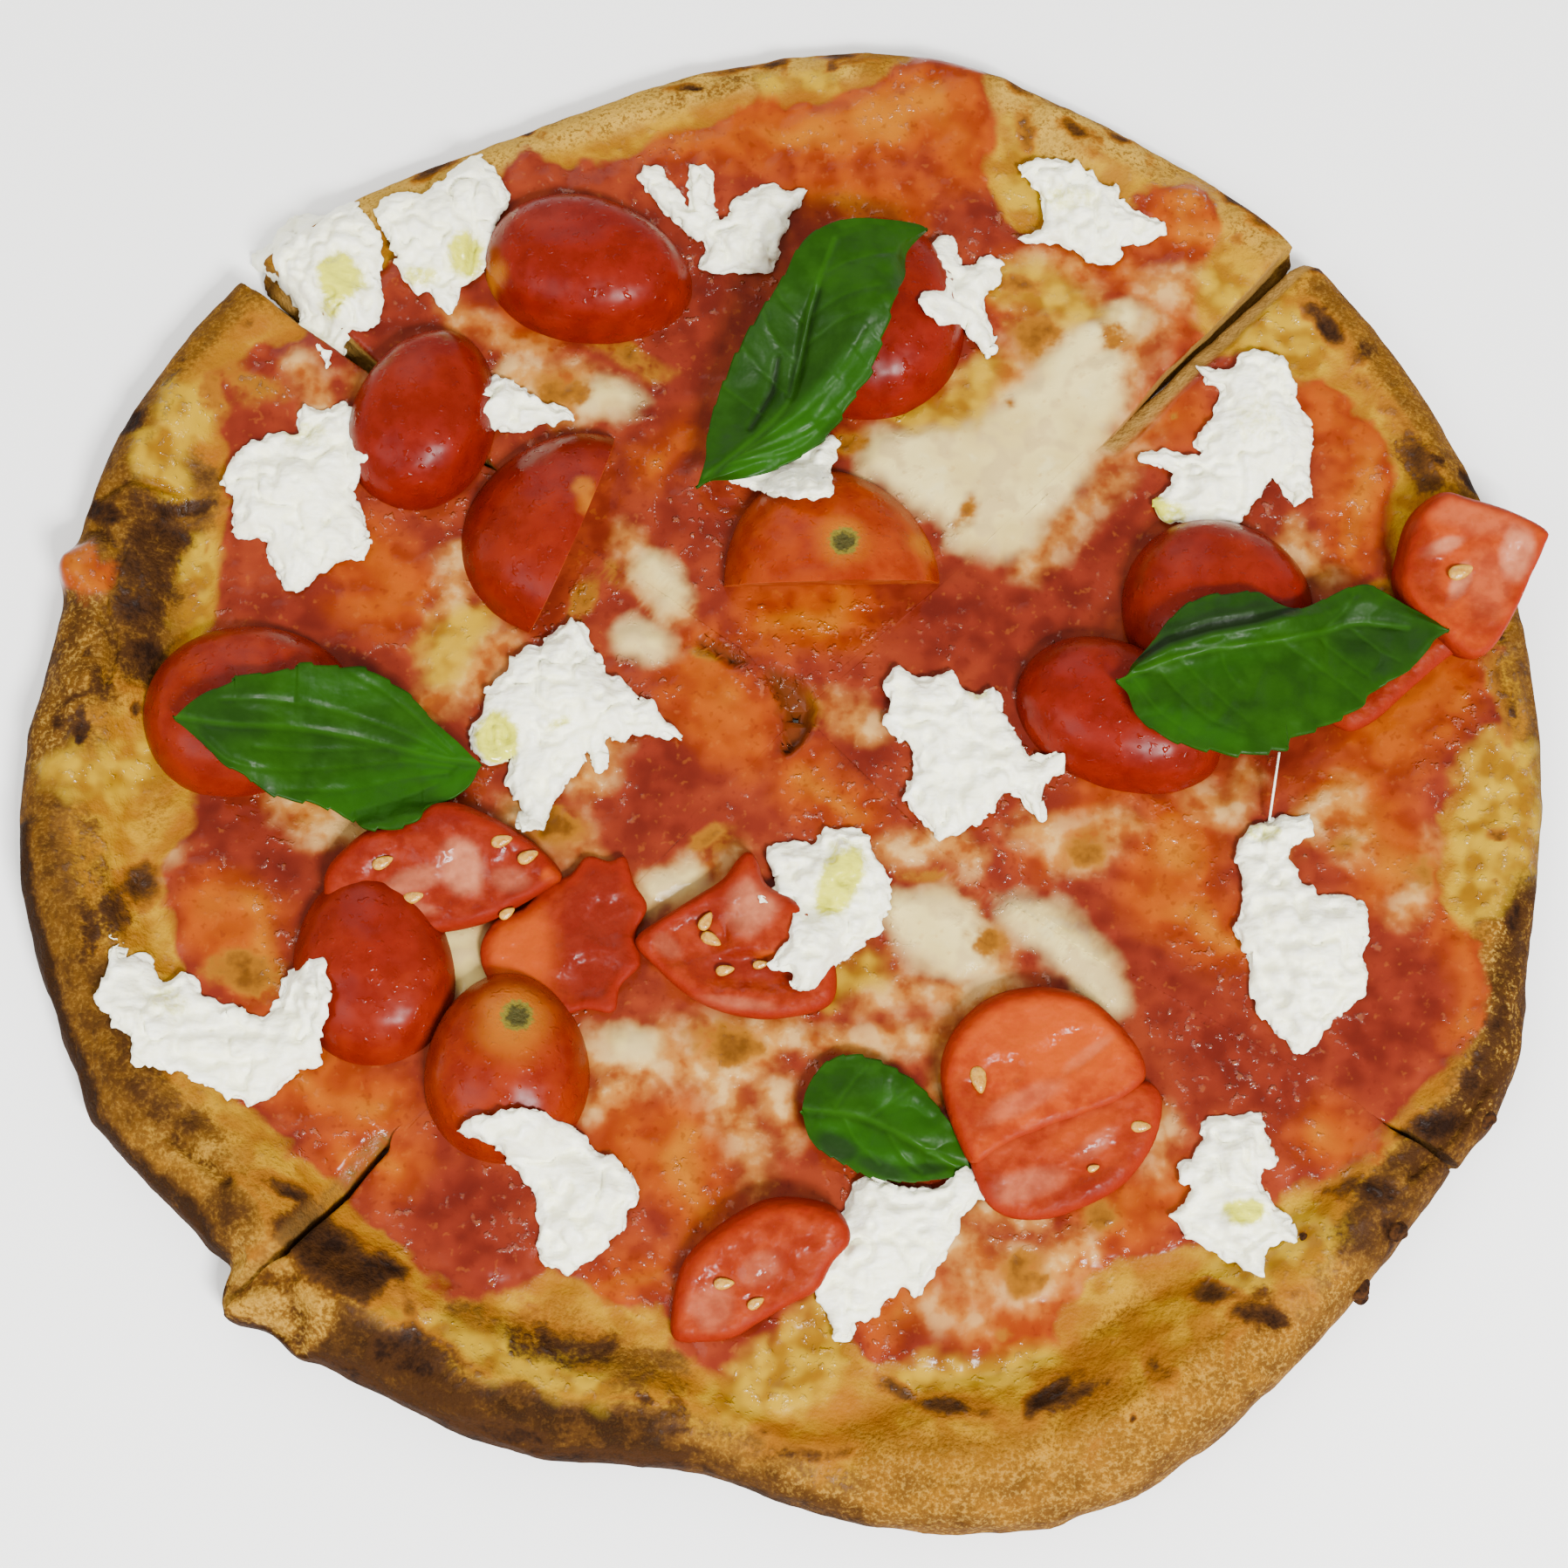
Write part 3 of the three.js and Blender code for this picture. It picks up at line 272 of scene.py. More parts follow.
def segment_distance(flat, start, end):
    """Distance to a straight segment, and how far along it the nearest point lies."""
    start, end = np.array(start[:2], float), np.array(end[:2], float)
    way = end - start
    along = np.clip((flat - start) @ way / max(way @ way, 1e-9), 0, 1)
    return np.hypot(*(flat - start - along[:, None] * way).T), along


def path_distance(flat, path):
    """Distance to the nearest segment of a path."""
    return np.min([segment_distance(flat, start, end)[0] for start, end in zip(path, path[1:])], axis=0)


def inside_strokes(flat, strokes):
    """How far inside the nearest stroke each place lies, in mm, and negative outside."""
    best = np.full(len(flat), -60.0)
    for stroke in strokes:
        for start, end in zip(stroke, stroke[1:]):
            distance, along = segment_distance(flat, start, end)
            best = np.maximum(best, start[2] + along * (end[2] - start[2]) - distance)
    return best


def inside_outline(flat, outline):
    """How far inside a closed outline each place lies, in mm, and negative outside."""
    nearest = np.full(len(flat), 1e3)
    inside = np.zeros(len(flat), bool)
    for start, end in zip(outline, outline[1:] + outline[:1]):
        nearest = np.minimum(nearest, segment_distance(flat, start, end)[0])
        crosses = (start[1] > flat[:, 1]) != (end[1] > flat[:, 1])
        slope = (end[0] - start[0]) / ((end[1] - start[1]) or 1e-9)
        inside ^= crosses & (flat[:, 0] < start[0] + (flat[:, 1] - start[1]) * slope)
    return np.where(inside, nearest, -nearest)


def edge_inset(flat):
    """How far in from the pizza's outline each place lies."""
    angle = np.degrees(np.arctan2(flat[:, 1], flat[:, 0]))
    radius = np.full(len(flat), DISC_RADIUS)
    for at, spread, out in OUTLINE_SWELLS:
        turn = np.abs((angle - at + 180) % 360 - 180)
        radius = radius + out * np.exp(-((turn / spread) ** 2))
    return radius - np.hypot(*flat.T)


def ellipse_reach(flat, x, y, length, width, turn):
    """0 in the middle of a turned ellipse, 1 on its edge, and more outside."""
    c, s = math.cos(math.radians(turn)), math.sin(math.radians(turn))
    dx, dy = flat[:, 0] - x, flat[:, 1] - y
    return np.hypot((c * dx + s * dy) / (length / 2), (c * dy - s * dx) / (width / 2))


def inside_ellipses(places, ellipses, seed):
    """The strength in the middle of each soft ellipse, and 0 outside all of them."""
    amount = np.zeros(len(places))
    edge = 0.25 * rough_noise(places, 3, seed)
    for *ellipse, strength in ellipses:
        amount = np.maximum(amount, strength * ramp(1.4 - ellipse_reach(places, *ellipse) + edge, 0, 0.8))
    return amount


def turned(places, turn):
    """Places turned about Z, by some degrees."""
    c, s = math.cos(math.radians(turn)), math.sin(math.radians(turn))
    x, y, z = places.T
    return np.stack([c * x - s * y, s * x + c * y, z], axis=1)


def toasting(flat, places):
    """How dark the bread or cheese is toasted, from 0 to 1."""
    dark = np.zeros(len(flat))
    edge = 0.65 * rough_noise(places, 5, 91) + 0.3 * rough_noise(places, 2.2, 92, 2)
    for *ellipse, depth in TOASTED:
        reach = ellipse_reach(flat, *ellipse)
        dark = np.maximum(dark, depth * np.clip(1.5 - reach + edge, 0, 1.25) / 1.25)
    return dark


def rim_zones(angle, inset, zones):
    """How strongly each place lies in any of some zones around the rim."""
    amount = np.zeros(len(angle))
    for start, stop, inner, outer, strength in zones:
        along = ((angle - start + 90) % 360 - 90) * RIM_MM_PER_DEGREE
        along = np.minimum(along, (stop - start) * RIM_MM_PER_DEGREE - along)
        across = np.minimum(inset - inner, outer - inset)
        amount = np.maximum(amount, strength * ramp(along, -3, 3) * ramp(across, -2, 2))
    return amount


# ---- Meshes ------------------------------------------------------------------------------------


def make_only(piece):
    bpy.ops.object.select_all(action="DESELECT")
    piece.select_set(True)
    bpy.context.view_layer.objects.active = piece


def apply_modifier(piece, name, kind, **settings):
    modifier = piece.modifiers.new(name, kind)
    for key, value in settings.items():
        setattr(modifier, key, value)
    make_only(piece)
    bpy.ops.object.modifier_apply(modifier=modifier.name)


def edit_all(piece, *steps):
    """Takes a piece through some steps of edit mode, each with everything selected."""
    make_only(piece)
    bpy.ops.object.mode_set(mode="EDIT")
    for step, settings in steps:
        bpy.ops.mesh.select_all(action="SELECT")
        step(**settings)
    bpy.ops.object.mode_set(mode="OBJECT")


def new_piece(name, mesh):
    piece = bpy.data.objects.new(name, mesh)
    bpy.context.collection.objects.link(piece)
    return piece


def mesh_of(name, places, faces):
    """A mesh of places in mm."""
    mesh = bpy.data.meshes.new(name)
    mesh.from_pydata([tuple(value * MM for value in place) for place in places], [], faces)
    return mesh


def node_copy(node, name):
    """A copy of a CAD node's solid, with its loose triangles joined up."""
    piece = new_piece(name, bpy.data.objects[node].data.copy())
    edit_all(piece, (bpy.ops.mesh.remove_doubles, {"threshold": 0.005 * MM}))
    return piece


def vertex_values(piece, key):
    flat = np.empty(len(piece.data.vertices) * 3)
    piece.data.vertices.foreach_get(key, flat)
    return flat.reshape(-1, 3)


def vertices_mm(piece):
    return vertex_values(piece, "co") / MM


def set_vertices_mm(piece, places):
    piece.data.vertices.foreach_set("co", (places * MM).ravel())
    piece.data.update()


def normals_of(piece):
    return vertex_values(piece, "normal")


def paint(piece, name, values):
    """Stores one number for each vertex, for the materials to read."""
    layer = piece.data.attributes.new(name, "FLOAT", "POINT")
    layer.data.foreach_set("value", np.asarray(values, np.float32))


def finish_piece(piece, material, nodes):
    piece.data.materials.clear()
    piece.data.materials.append(material)
    make_only(piece)
    bpy.ops.object.shade_smooth()
    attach(piece, "root")
    if nodes:
        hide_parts(*nodes)


# ---- Materials ---------------------------------------------------------------------------------


class Shader:
    """A material's nodes, added one after the other."""

    def __init__(self, name):
        self.material = bpy.data.materials.new(name)
        self.material.use_nodes = True
        self.nodes = self.material.node_tree.nodes
        self.links = self.material.node_tree.links
        self.surface = self.nodes["Principled BSDF"]
        self.place = self.nodes.new("ShaderNodeTexCoord").outputs["Object"]

    def put(self, value, socket):
        if isinstance(value, bpy.types.NodeSocket):
            self.links.new(value, socket)
        elif isinstance(value, tuple) and len(value) == 3 and socket.type == "RGBA":
            socket.default_value = (*value, 1)
        else:
            socket.default_value = value

    def field(self, name):
        node = self.nodes.new("ShaderNodeAttribute")
        node.attribute_name = name
        return node.outputs["Fac"]

    def grain(self, size_mm, detail=3, roughness=0.55, stretch=None):
        """Noise from 0 to 1 with lumps of about this size."""
        node = self.nodes.new("ShaderNodeTexNoise")
        node.inputs["Scale"].default_value = 1 / (size_mm * MM)
        node.inputs["Detail"].default_value = detail
        node.inputs["Roughness"].default_value = roughness
        place = self.place
        if stretch:
            mapping = self.nodes.new("ShaderNodeMapping")
            mapping.inputs["Scale"].default_value = stretch
            self.links.new(self.place, mapping.inputs["Vector"])
            place = mapping.outputs["Vector"]
        self.links.new(place, node.inputs["Vector"])
        return node.outputs["Fac"]

    def maths(self, operation, *values):
        node = self.nodes.new("ShaderNodeMath")
        node.operation = operation
        for value, socket in zip(values, node.inputs):
            self.put(value, socket)
        return node.outputs[0]

    def rise(self, value, low, high, start=0.0, stop=1.0):
        """A smooth rise from start to stop while the value goes from low to high."""
        node = self.nodes.new("ShaderNodeMapRange")
        node.interpolation_type = "SMOOTHSTEP"
        for setting, socket in zip((value, low, high, start, stop), node.inputs):
            self.put(setting, socket)
        return node.outputs[0]

    def mix(self, amount, first, second):
        node = self.nodes.new("ShaderNodeMix")
        node.data_type = "RGBA"
        self.put(amount, node.inputs[0])
        self.put(first, node.inputs[6])
        self.put(second, node.inputs[7])
        return node.outputs[2]

    def blend(self, amount, first, second):
        node = self.nodes.new("ShaderNodeMix")
        self.put(amount, node.inputs[0])
        self.put(first, node.inputs[2])
        self.put(second, node.inputs[3])
        return node.outputs[0]

    def bump(self, height, depth_mm, below=None):
        node = self.nodes.new("ShaderNodeBump")
        node.inputs["Distance"].default_value = depth_mm * MM
        self.put(height, node.inputs["Height"])
        if below:
            self.links.new(below, node.inputs["Normal"])
        return node.outputs["Normal"]

    def finish(self, color, roughness, normal=None, **settings):
        self.put(color, self.surface.inputs["Base Color"])
        self.put(roughness, self.surface.inputs["Roughness"])
        if normal:
            self.links.new(normal, self.surface.inputs["Normal"])
        for name, value in settings.items():
            self.surface.inputs[name.replace("_", " ")].default_value = value
        return self.material


# Colours are red, green and blue. Of a pair, the surface takes both, in patches.
CRUST_COLORS = (0.185, 0.075, 0.003), (0.255, 0.115, 0.005)
CRUST_SHADE_COLOR = (0.155, 0.062, 0.004)
CRUST_PALE_COLOR = (0.41, 0.25, 0.035)
GOLDEN_COLORS = (0.21, 0.080, 0.0008), (0.32, 0.165, 0.0012)
GOLDEN_SHADE_COLOR = (0.20, 0.056, 0.0008)
BROWN_COLOR = (0.092, 0.038, 0.005)
DARK_BROWN_COLOR = (0.042, 0.016, 0.003)
BLACKENED_COLOR = (0.016, 0.006, 0.002)
FRECKLE_COLOR = (0.105, 0.040, 0.004)
FLOUR_COLOR = (0.35, 0.20, 0.035)
SAUCE_COLORS = (0.108, 0.0110, 0.0046), (0.166, 0.0215, 0.0062)
RUST_COLORS = (0.160, 0.0170, 0.0008), (0.235, 0.0370, 0.0008)
AMBER_COLORS = (0.26, 0.058, 0.0006), (0.30, 0.091, 0.0012)
DEEP_COLORS = (0.070, 0.0060, 0.0032), (0.122, 0.0125, 0.0050)
PULP_COLOR = (0.30, 0.080, 0.006)
SAUCE_SHADE_COLOR = (0.070, 0.0052, 0.0024)
BLUSH_COLORS = (0.25, 0.062, 0.003), (0.36, 0.150, 0.022)
BLUSH_PALE_COLOR = (0.46, 0.27, 0.085)
CHEESE_COLORS = (0.48, 0.37, 0.12), (0.60, 0.49, 0.19)
CHEESE_DULL_COLOR = (0.40, 0.29, 0.12)
CHEESE_BROWNED_COLOR = (0.38, 0.22, 0.06)
CHEESE_MILKY_COLOR = (0.62, 0.54, 0.26)
OIL_COLORS = (0.17, 0.072, 0.0001), (0.33, 0.195, 0.002)
TOAST_COLOR = (0.205, 0.072, 0.003)
DARK_TOAST_COLOR = (0.085, 0.028, 0.003)
SCORCH_AND_SHADE_COLOR = (0.088, 0.032, 0.004)
CHAR_AND_SHADE_COLOR = (0.030, 0.011, 0.003)
SOOT_COLOR = (0.010, 0.004, 0.002)
CRUMB_COLORS = (0.18, 0.088, 0.014), (0.29, 0.165, 0.042)
HOLLOW_SHADE_COLOR = (0.085, 0.018, 0.003)


def baked_material():
    """Crust, sauce and baked cheese, told apart by what is painted on the slices."""
    s = Shader("baked_pizza")
    coarse, medium = s.grain(14, 1), s.grain(4.5, 1.5, 0.4)
    small, fine = s.grain(1.5, 2, 0.5), s.grain(0.75, 3, 0.7)
    wander = s.maths("MULTIPLY_ADD", medium, 5.0, s.maths("MULTIPLY_ADD", small, 0.8, -2.9))
    patchy = s.maths("MULTIPLY_ADD", medium, 0.8, s.maths("MULTIPLY_ADD", small, 0.5, -0.65))
    gritty = s.maths("MULTIPLY_ADD", fine, 0.5, s.maths("ADD", patchy, -0.25))

    def uneven(name, noise):
        """A painted strength made patchy by the noise, but only where it is painted."""
        field = s.field(name)
        return s.maths("ADD", field, s.maths("MULTIPLY", noise, s.rise(field, 0.0, 0.35)))

    def area(name, low, high):
        return s.rise(s.maths("ADD", s.field(name), wander), low, high)

    crust = s.mix(s.rise(medium, 0.35, 0.65), *CRUST_COLORS)
    crust = s.mix(s.rise(coarse, 0.55, 0.4, 0, 0.5), crust, CRUST_SHADE_COLOR)
    crust = s.mix(s.maths("MULTIPLY", s.field("pale"), 0.85), crust, CRUST_PALE_COLOR)
    golden = s.mix(s.rise(medium, 0.35, 0.62), *GOLDEN_COLORS)
    golden = s.mix(s.rise(coarse, 0.52, 0.36, 0, 0.75), golden, GOLDEN_SHADE_COLOR)
    crust = s.mix(s.field("gold"), crust, golden)
    # The brown field is the rim's real browning, and low on its outer edge also painted shade.
    brown = s.maths("ADD", uneven("brown", gritty), s.maths("MULTIPLY", gritty, 0.25))
    crust = s.mix(s.rise(brown, 0.0, 0.6), crust, BROWN_COLOR)
    crust = s.mix(s.rise(brown, 0.5, 1.0), crust, DARK_BROWN_COLOR)
    crust = s.mix(s.rise(brown, 0.95, 1.3), crust, BLACKENED_COLOR)
    dry = s.rise(s.maths("MAXIMUM", s.field("gold"), s.maths("SUBTRACT", brown, 0.2)), 0.2, 0.8, 1.0, 0.15)
    freckles = s.maths("MULTIPLY", s.rise(fine, 0.50, 0.60), s.rise(medium, 0.35, 0.6, 0.3, 0.75))
    crust = s.mix(s.maths("MULTIPLY", freckles, dry), crust, FRECKLE_COLOR)
    flour = s.maths("MULTIPLY", s.maths("ADD", s.field("flour"), 0.2), s.rise(fine, 0.50, 0.38, 0, 0.6))
    crust = s.mix(s.maths("MULTIPLY", flour, dry), crust, FLOUR_COLOR)

    # The sauce's colours follow the medium noise that also lifts the wet surface's bumps, so besides its own
    # patchy tone this is painted shade: darker in the dips, lighter on the lumps.
    sauce = s.mix(s.rise(medium, 0.32, 0.66), *SAUCE_COLORS)
    rust = s.mix(s.rise(medium, 0.3, 0.68), *RUST_COLORS)
    amber = s.mix(s.rise(coarse, 0.4, 0.6), *AMBER_COLORS)
    sauce = s.mix(area("thin", -4, 4), sauce, rust)
    thinnest = s.maths("MULTIPLY", area("thin", 1.5, 8), s.rise(coarse, 0.4, 0.6, 0.35, 0.9))
    sauce = s.mix(thinnest, sauce, amber)
    deep_color = s.mix(s.rise(medium, 0.3, 0.7), *DEEP_COLORS)
    sauce = s.mix(s.maths("MULTIPLY", area("deep", -4, 4), 0.95), sauce, deep_color)
    sauce = s.mix(s.rise(small, 0.60, 0.74, 0, 0.22), sauce, PULP_COLOR)
    sauce = s.mix(s.rise(small, 0.40, 0.28, 0, 0.32), sauce, SAUCE_SHADE_COLOR)

    curds = s.maths("MULTIPLY_ADD", small, 0.25, s.maths("MULTIPLY", medium, 0.75))
    blush = s.mix(s.rise(curds, 0.34, 0.50), *BLUSH_COLORS)
    blush = s.mix(s.rise(curds, 0.49, 0.64), blush, BLUSH_PALE_COLOR)
    cheesy = s.maths("MULTIPLY", area("cheese", -2, 5), s.rise(coarse, 0.35, 0.55, 0.6, 0.95))
    sauce = s.mix(cheesy, sauce, blush)
    cheese = s.mix(s.rise(coarse, 0.35, 0.65), *CHEESE_COLORS)
    cheese = s.mix(s.rise(medium, 0.50, 0.66, 0, 0.75), cheese, CHEESE_DULL_COLOR)
    cheese = s.mix(s.rise(small, 0.62, 0.74, 0, 0.35), cheese, CHEESE_BROWNED_COLOR)
    cheese = s.mix(s.rise(curds, 0.42, 0.30, 0, 0.5), cheese, CHEESE_MILKY_COLOR)

    color = s.mix(area("sauce", -1.0, 1.0), crust, sauce)
    color = s.mix(s.maths("MULTIPLY", area("white", -3.5, 2.5), 0.93), color, cheese)
    oil = area("oil", -2.5, 2.5)
    oil_color = s.mix(s.rise(medium, 0.35, 0.65), *OIL_COLORS)
    color = s.mix(s.maths("MULTIPLY", oil, 0.92), color, oil_color)
    toast = uneven("toast", patchy)
    unbaked = s.rise(s.field("brown"), 0.05, 0.4, 1, 0)
    color = s.mix(s.maths("MULTIPLY", s.rise(toast, 0.02, 0.4), unbaked), color, TOAST_COLOR)
    color = s.mix(s.maths("MULTIPLY", s.rise(toast, 0.25, 0.75), unbaked), color, DARK_TOAST_COLOR)
    # The char field is real scorching and char, and painted shade in creases and on the sides of one cut.
    char = uneven("char", gritty)
    color = s.mix(s.maths("MULTIPLY", s.rise(char, 0.0, 0.5), unbaked), color, SCORCH_AND_SHADE_COLOR)
    color = s.mix(s.rise(char, 0.25, 0.85), color, CHAR_AND_SHADE_COLOR)
    color = s.mix(s.rise(char, 0.75, 1.2), color, SOOT_COLOR)
    color = s.mix(s.field("crumb"), color, s.mix(small, *CRUMB_COLORS))
    # Painted shade: the hollow between the slices' tips is painted dark.
    color = s.mix(s.field("hollow"), color, HOLLOW_SHADE_COLOR)

    oily = s.maths("MAXIMUM", oil, s.maths("MULTIPLY", s.field("gold"), 0.55))
    wet = s.maths("MAXIMUM", area("sauce", -2, 1), oily)
    wet = s.maths("MULTIPLY", wet, s.maths("SUBTRACT", 1.0, s.field("crumb")))
    lively = s.maths("MAXIMUM", s.rise(coarse, 0.45, 0.62, 0.1, 1.0), s.maths("MULTIPLY", oil, 0.8))
    beads = s.maths("MULTIPLY", s.rise(small, 0.54, 0.74), lively)
    beads = s.maths("MULTIPLY", beads, s.rise(s.field("cheese"), -1, 2, 1, 0.35))
    soft = s.maths("MULTIPLY_ADD", beads, 0.28, s.maths("MULTIPLY", medium, 0.6))
    grit = s.maths("MULTIPLY_ADD", fine, 0.30, s.maths("MULTIPLY", small, 0.35))
    normal = s.bump(s.blend(wet, grit, soft), 1.0)
    s.put(s.blend(wet, 0.03, s.rise(beads, 0, 0.6, 0.08, 0.46)), s.surface.inputs["Specular IOR Level"])
    roughness = s.blend(wet, 0.75, s.rise(medium, 0.35, 0.65, 0.10, 0.24))
    return s.finish(color, roughness, normal)


# ---- The baked slices --------------------------------------------------------------------------

SLICES = {
    "right": ["melted_cheese_9"],
    "top": ["melted_cheese_1", "melted_cheese_2", "melted_cheese_3", "melted_cheese_10"],
    "left": ["melted_cheese_4"],
    "bottom": ["melted_cheese_5", "melted_cheese_6", "melted_cheese_7", "melted_cheese_8"],
}
SLICE_MESH = 0.75  # mm between the vertices of a slice
SLICE_SMOOTHING = 12  # steps that round off its edges
SAUCE_DEPTH = 1.5  # how far the sauce rises over the dough, and cheese over the sauce
CHEESE_DEPTH = 1.1

# How wide each cut stays open: distances from the crossing, and the width at each, in mm.
CUT_OPEN = [
    ((68, 76, 95, 112, 150), (0, 0.4, 0.8, 1.6, 4.5)),
    ((60, 95, 120, 150), (0, 2, 5, 6)),
    ((98, 104, 116, 126, 132), (0, 0.8, 1.2, 0.8, 0)),
    ((112, 119, 127, 140), (0, 0.5, 0.8, 1.8)),
]
# How much pale crumb shows on the sides of each cut.
CRUMB_SHOWN = (1, 1, 0.2, 0.1)
SHADED_CUT = 2  # the cut whose sides are painted dark, as shade in the narrow cut, counted as in CUT_PATHS
CLOSED_OVERLAP = 0.7  # how far two slices reach into each other at a closed cut
# Where the slices' rounded tips leave a hollow between them, pressed down and painted dark as painted shade.
HOLLOWS = [
    [(-14.5, 18.5, 1.0), (-9, 15.3, 1.3), (-6.5, 14.2, 0.4)],
    [(-2, 12.5, 1.0), (1, 9, 2.8), (2.6, 5, 3.0), (2, 1, 2.0), (0.5, -1.5, 1.2)],
]
HOLLOW_DEPTH = 2.4
# Edges that slope down into a cut: which cut, from how far out, how wide and how deep.
SLOPING_EDGES = {"right": (0, 72, 4.5, 4.5), "left": (2, 98, 4.0, 4.0)}
# Folds and cracks in the crust, pressed in and painted dark as painted shade in them.
CREASES = [
    [(-90, -94, 0.9), (-84, -93.2, 1.0), (-80, -94, 0.8)],
    [(-81, -94, 0.7), (-79.6, -99, 1.0), (-79, -106, 0.9)],
    [(-102, -71, 0.6), (-97, -75, 0.9), (-91, -78.5, 0.5)],
    [(-92, -99, 0.5), (-86, -101, 0.8), (-80, -101.5, 0.6)],
    [(-121, 44, 0.6), (-116, 47, 0.9), (-108, 45, 0.6)],
    [(-119, 23, 0.6), (-117, 15, 0.8), (-118, 9, 0.5)],
    [(-122, 38, 0.6), (-117, 33, 0.8), (-118, 26, 0.6)],
    [(104, -78, 0.5), (110, -72, 0.8), (118, -62, 0.5)],
]
# Torn or swollen spots of the crust: x, y, reach, and how far they move along x, y and z.
TORN_SPOTS = [
    (-124, 30, 4, -3, 0.5, 1.4), (-87, -96, 5, -4.5, -3.5, -1), (-80, -103, 4, 0, -2.5, -1.5),
    (-92, -92, 3, 2.5, 1.5, -1),
]


def nearest_cut(flat):
    """For each place: how far the nearest cut is, the way to it, its width, which it is and how far out."""
    nearest = np.full(len(flat), 1e3)
    number, far_out = np.zeros(len(flat), int), np.zeros(len(flat))
    way = np.zeros((len(flat), 2))
    wide = np.zeros(len(flat))
    for cut, (path, openings) in enumerate(zip(CUT_PATHS, CUT_OPEN)):
        for start, end in zip(path, path[1:]):
            distance, along = segment_distance(flat, start, end)
            spot = np.array(start[:2]) + along[:, None] * (np.array(end[:2], float) - start[:2])
            closer = distance < nearest
            nearest = np.where(closer, distance, nearest)
            way[closer] = (spot - flat)[closer]
            out = np.hypot(*(spot - CUT_CROSSING).T)
            wide = np.where(closer, np.interp(out, *openings), wide)
            number[closer] = cut
            far_out = np.where(closer, out, far_out)
    return nearest, way / np.maximum(nearest, 1e-6)[:, None], wide, number, far_out


def close_cuts(places, normals, slice_name):
    """Draws a slice's edges over a closed cut, and down to the middle of an open one.

    Gives how much crumb shows, how dark a cut's side is painted as shade, and how much of the top each place
    is.
    """
    near, to_cut, wide, number, far_out = nearest_cut(places[:, :2])
    level = dough_ground.at(places[:, :2])
    closed = ramp(1.0 - wide, 0, 0.7)
    over = closed * (near + CLOSED_OVERLAP) * ramp(4.0 - near, 0, 2.5)
    narrow = (1 - closed) * np.maximum(near - wide / 2, 0) * ramp(3.4 - near, 0, 1.8)
    low = (1 - closed) * np.maximum(near - 0.1, 0) * ramp(3.6 - near, 0, 1.0)
    low *= ramp(4.5 - places[:, 2], 0, 3.5)
    places[:, :2] += np.maximum(np.maximum(over, narrow), low)[:, None] * to_cut
    edge = closed * ramp(2.2 - near, 0, 1.0) * ramp(places[:, 2] - level + 3.0, 0, 1.0)
    places[:, 2] += edge * np.maximum(level - places[:, 2], 0)
    side = ramp(0.75 - normals[:, 2], 0, 0.3) * ramp(4.5 - near, 0, 1.5)
    side *= ramp(edge_inset(places[:, :2]), 3, 9)
    bared = side * ramp(places[:, 2], 0.2, 1.5) * ramp(wide, 0.2, 0.9)
    upward = np.maximum(ramp(normals[:, 2], 0.15, 0.6), edge)
    if slice_name in SLOPING_EDGES:
        cut, start, width, depth = SLOPING_EDGES[slice_name]
        slope = (number == cut) * ramp(far_out - start, 0, 6) * np.clip(1 - near / width, 0, 1)
        places[:, 2] -= depth * slope * ramp(places[:, 2], 1.5, 6)
        bared = np.maximum(bared, ramp(slope, 0.05, 0.3))
    crumb = bared * np.choose(number, CRUMB_SHOWN)
    # Painted shade on the sides of one narrow cut.
    cut_side_shade = bared * (number == SHADED_CUT)
    return crumb, cut_side_shade, upward * ramp(near + 3 * closed, 0.2, 2.5)


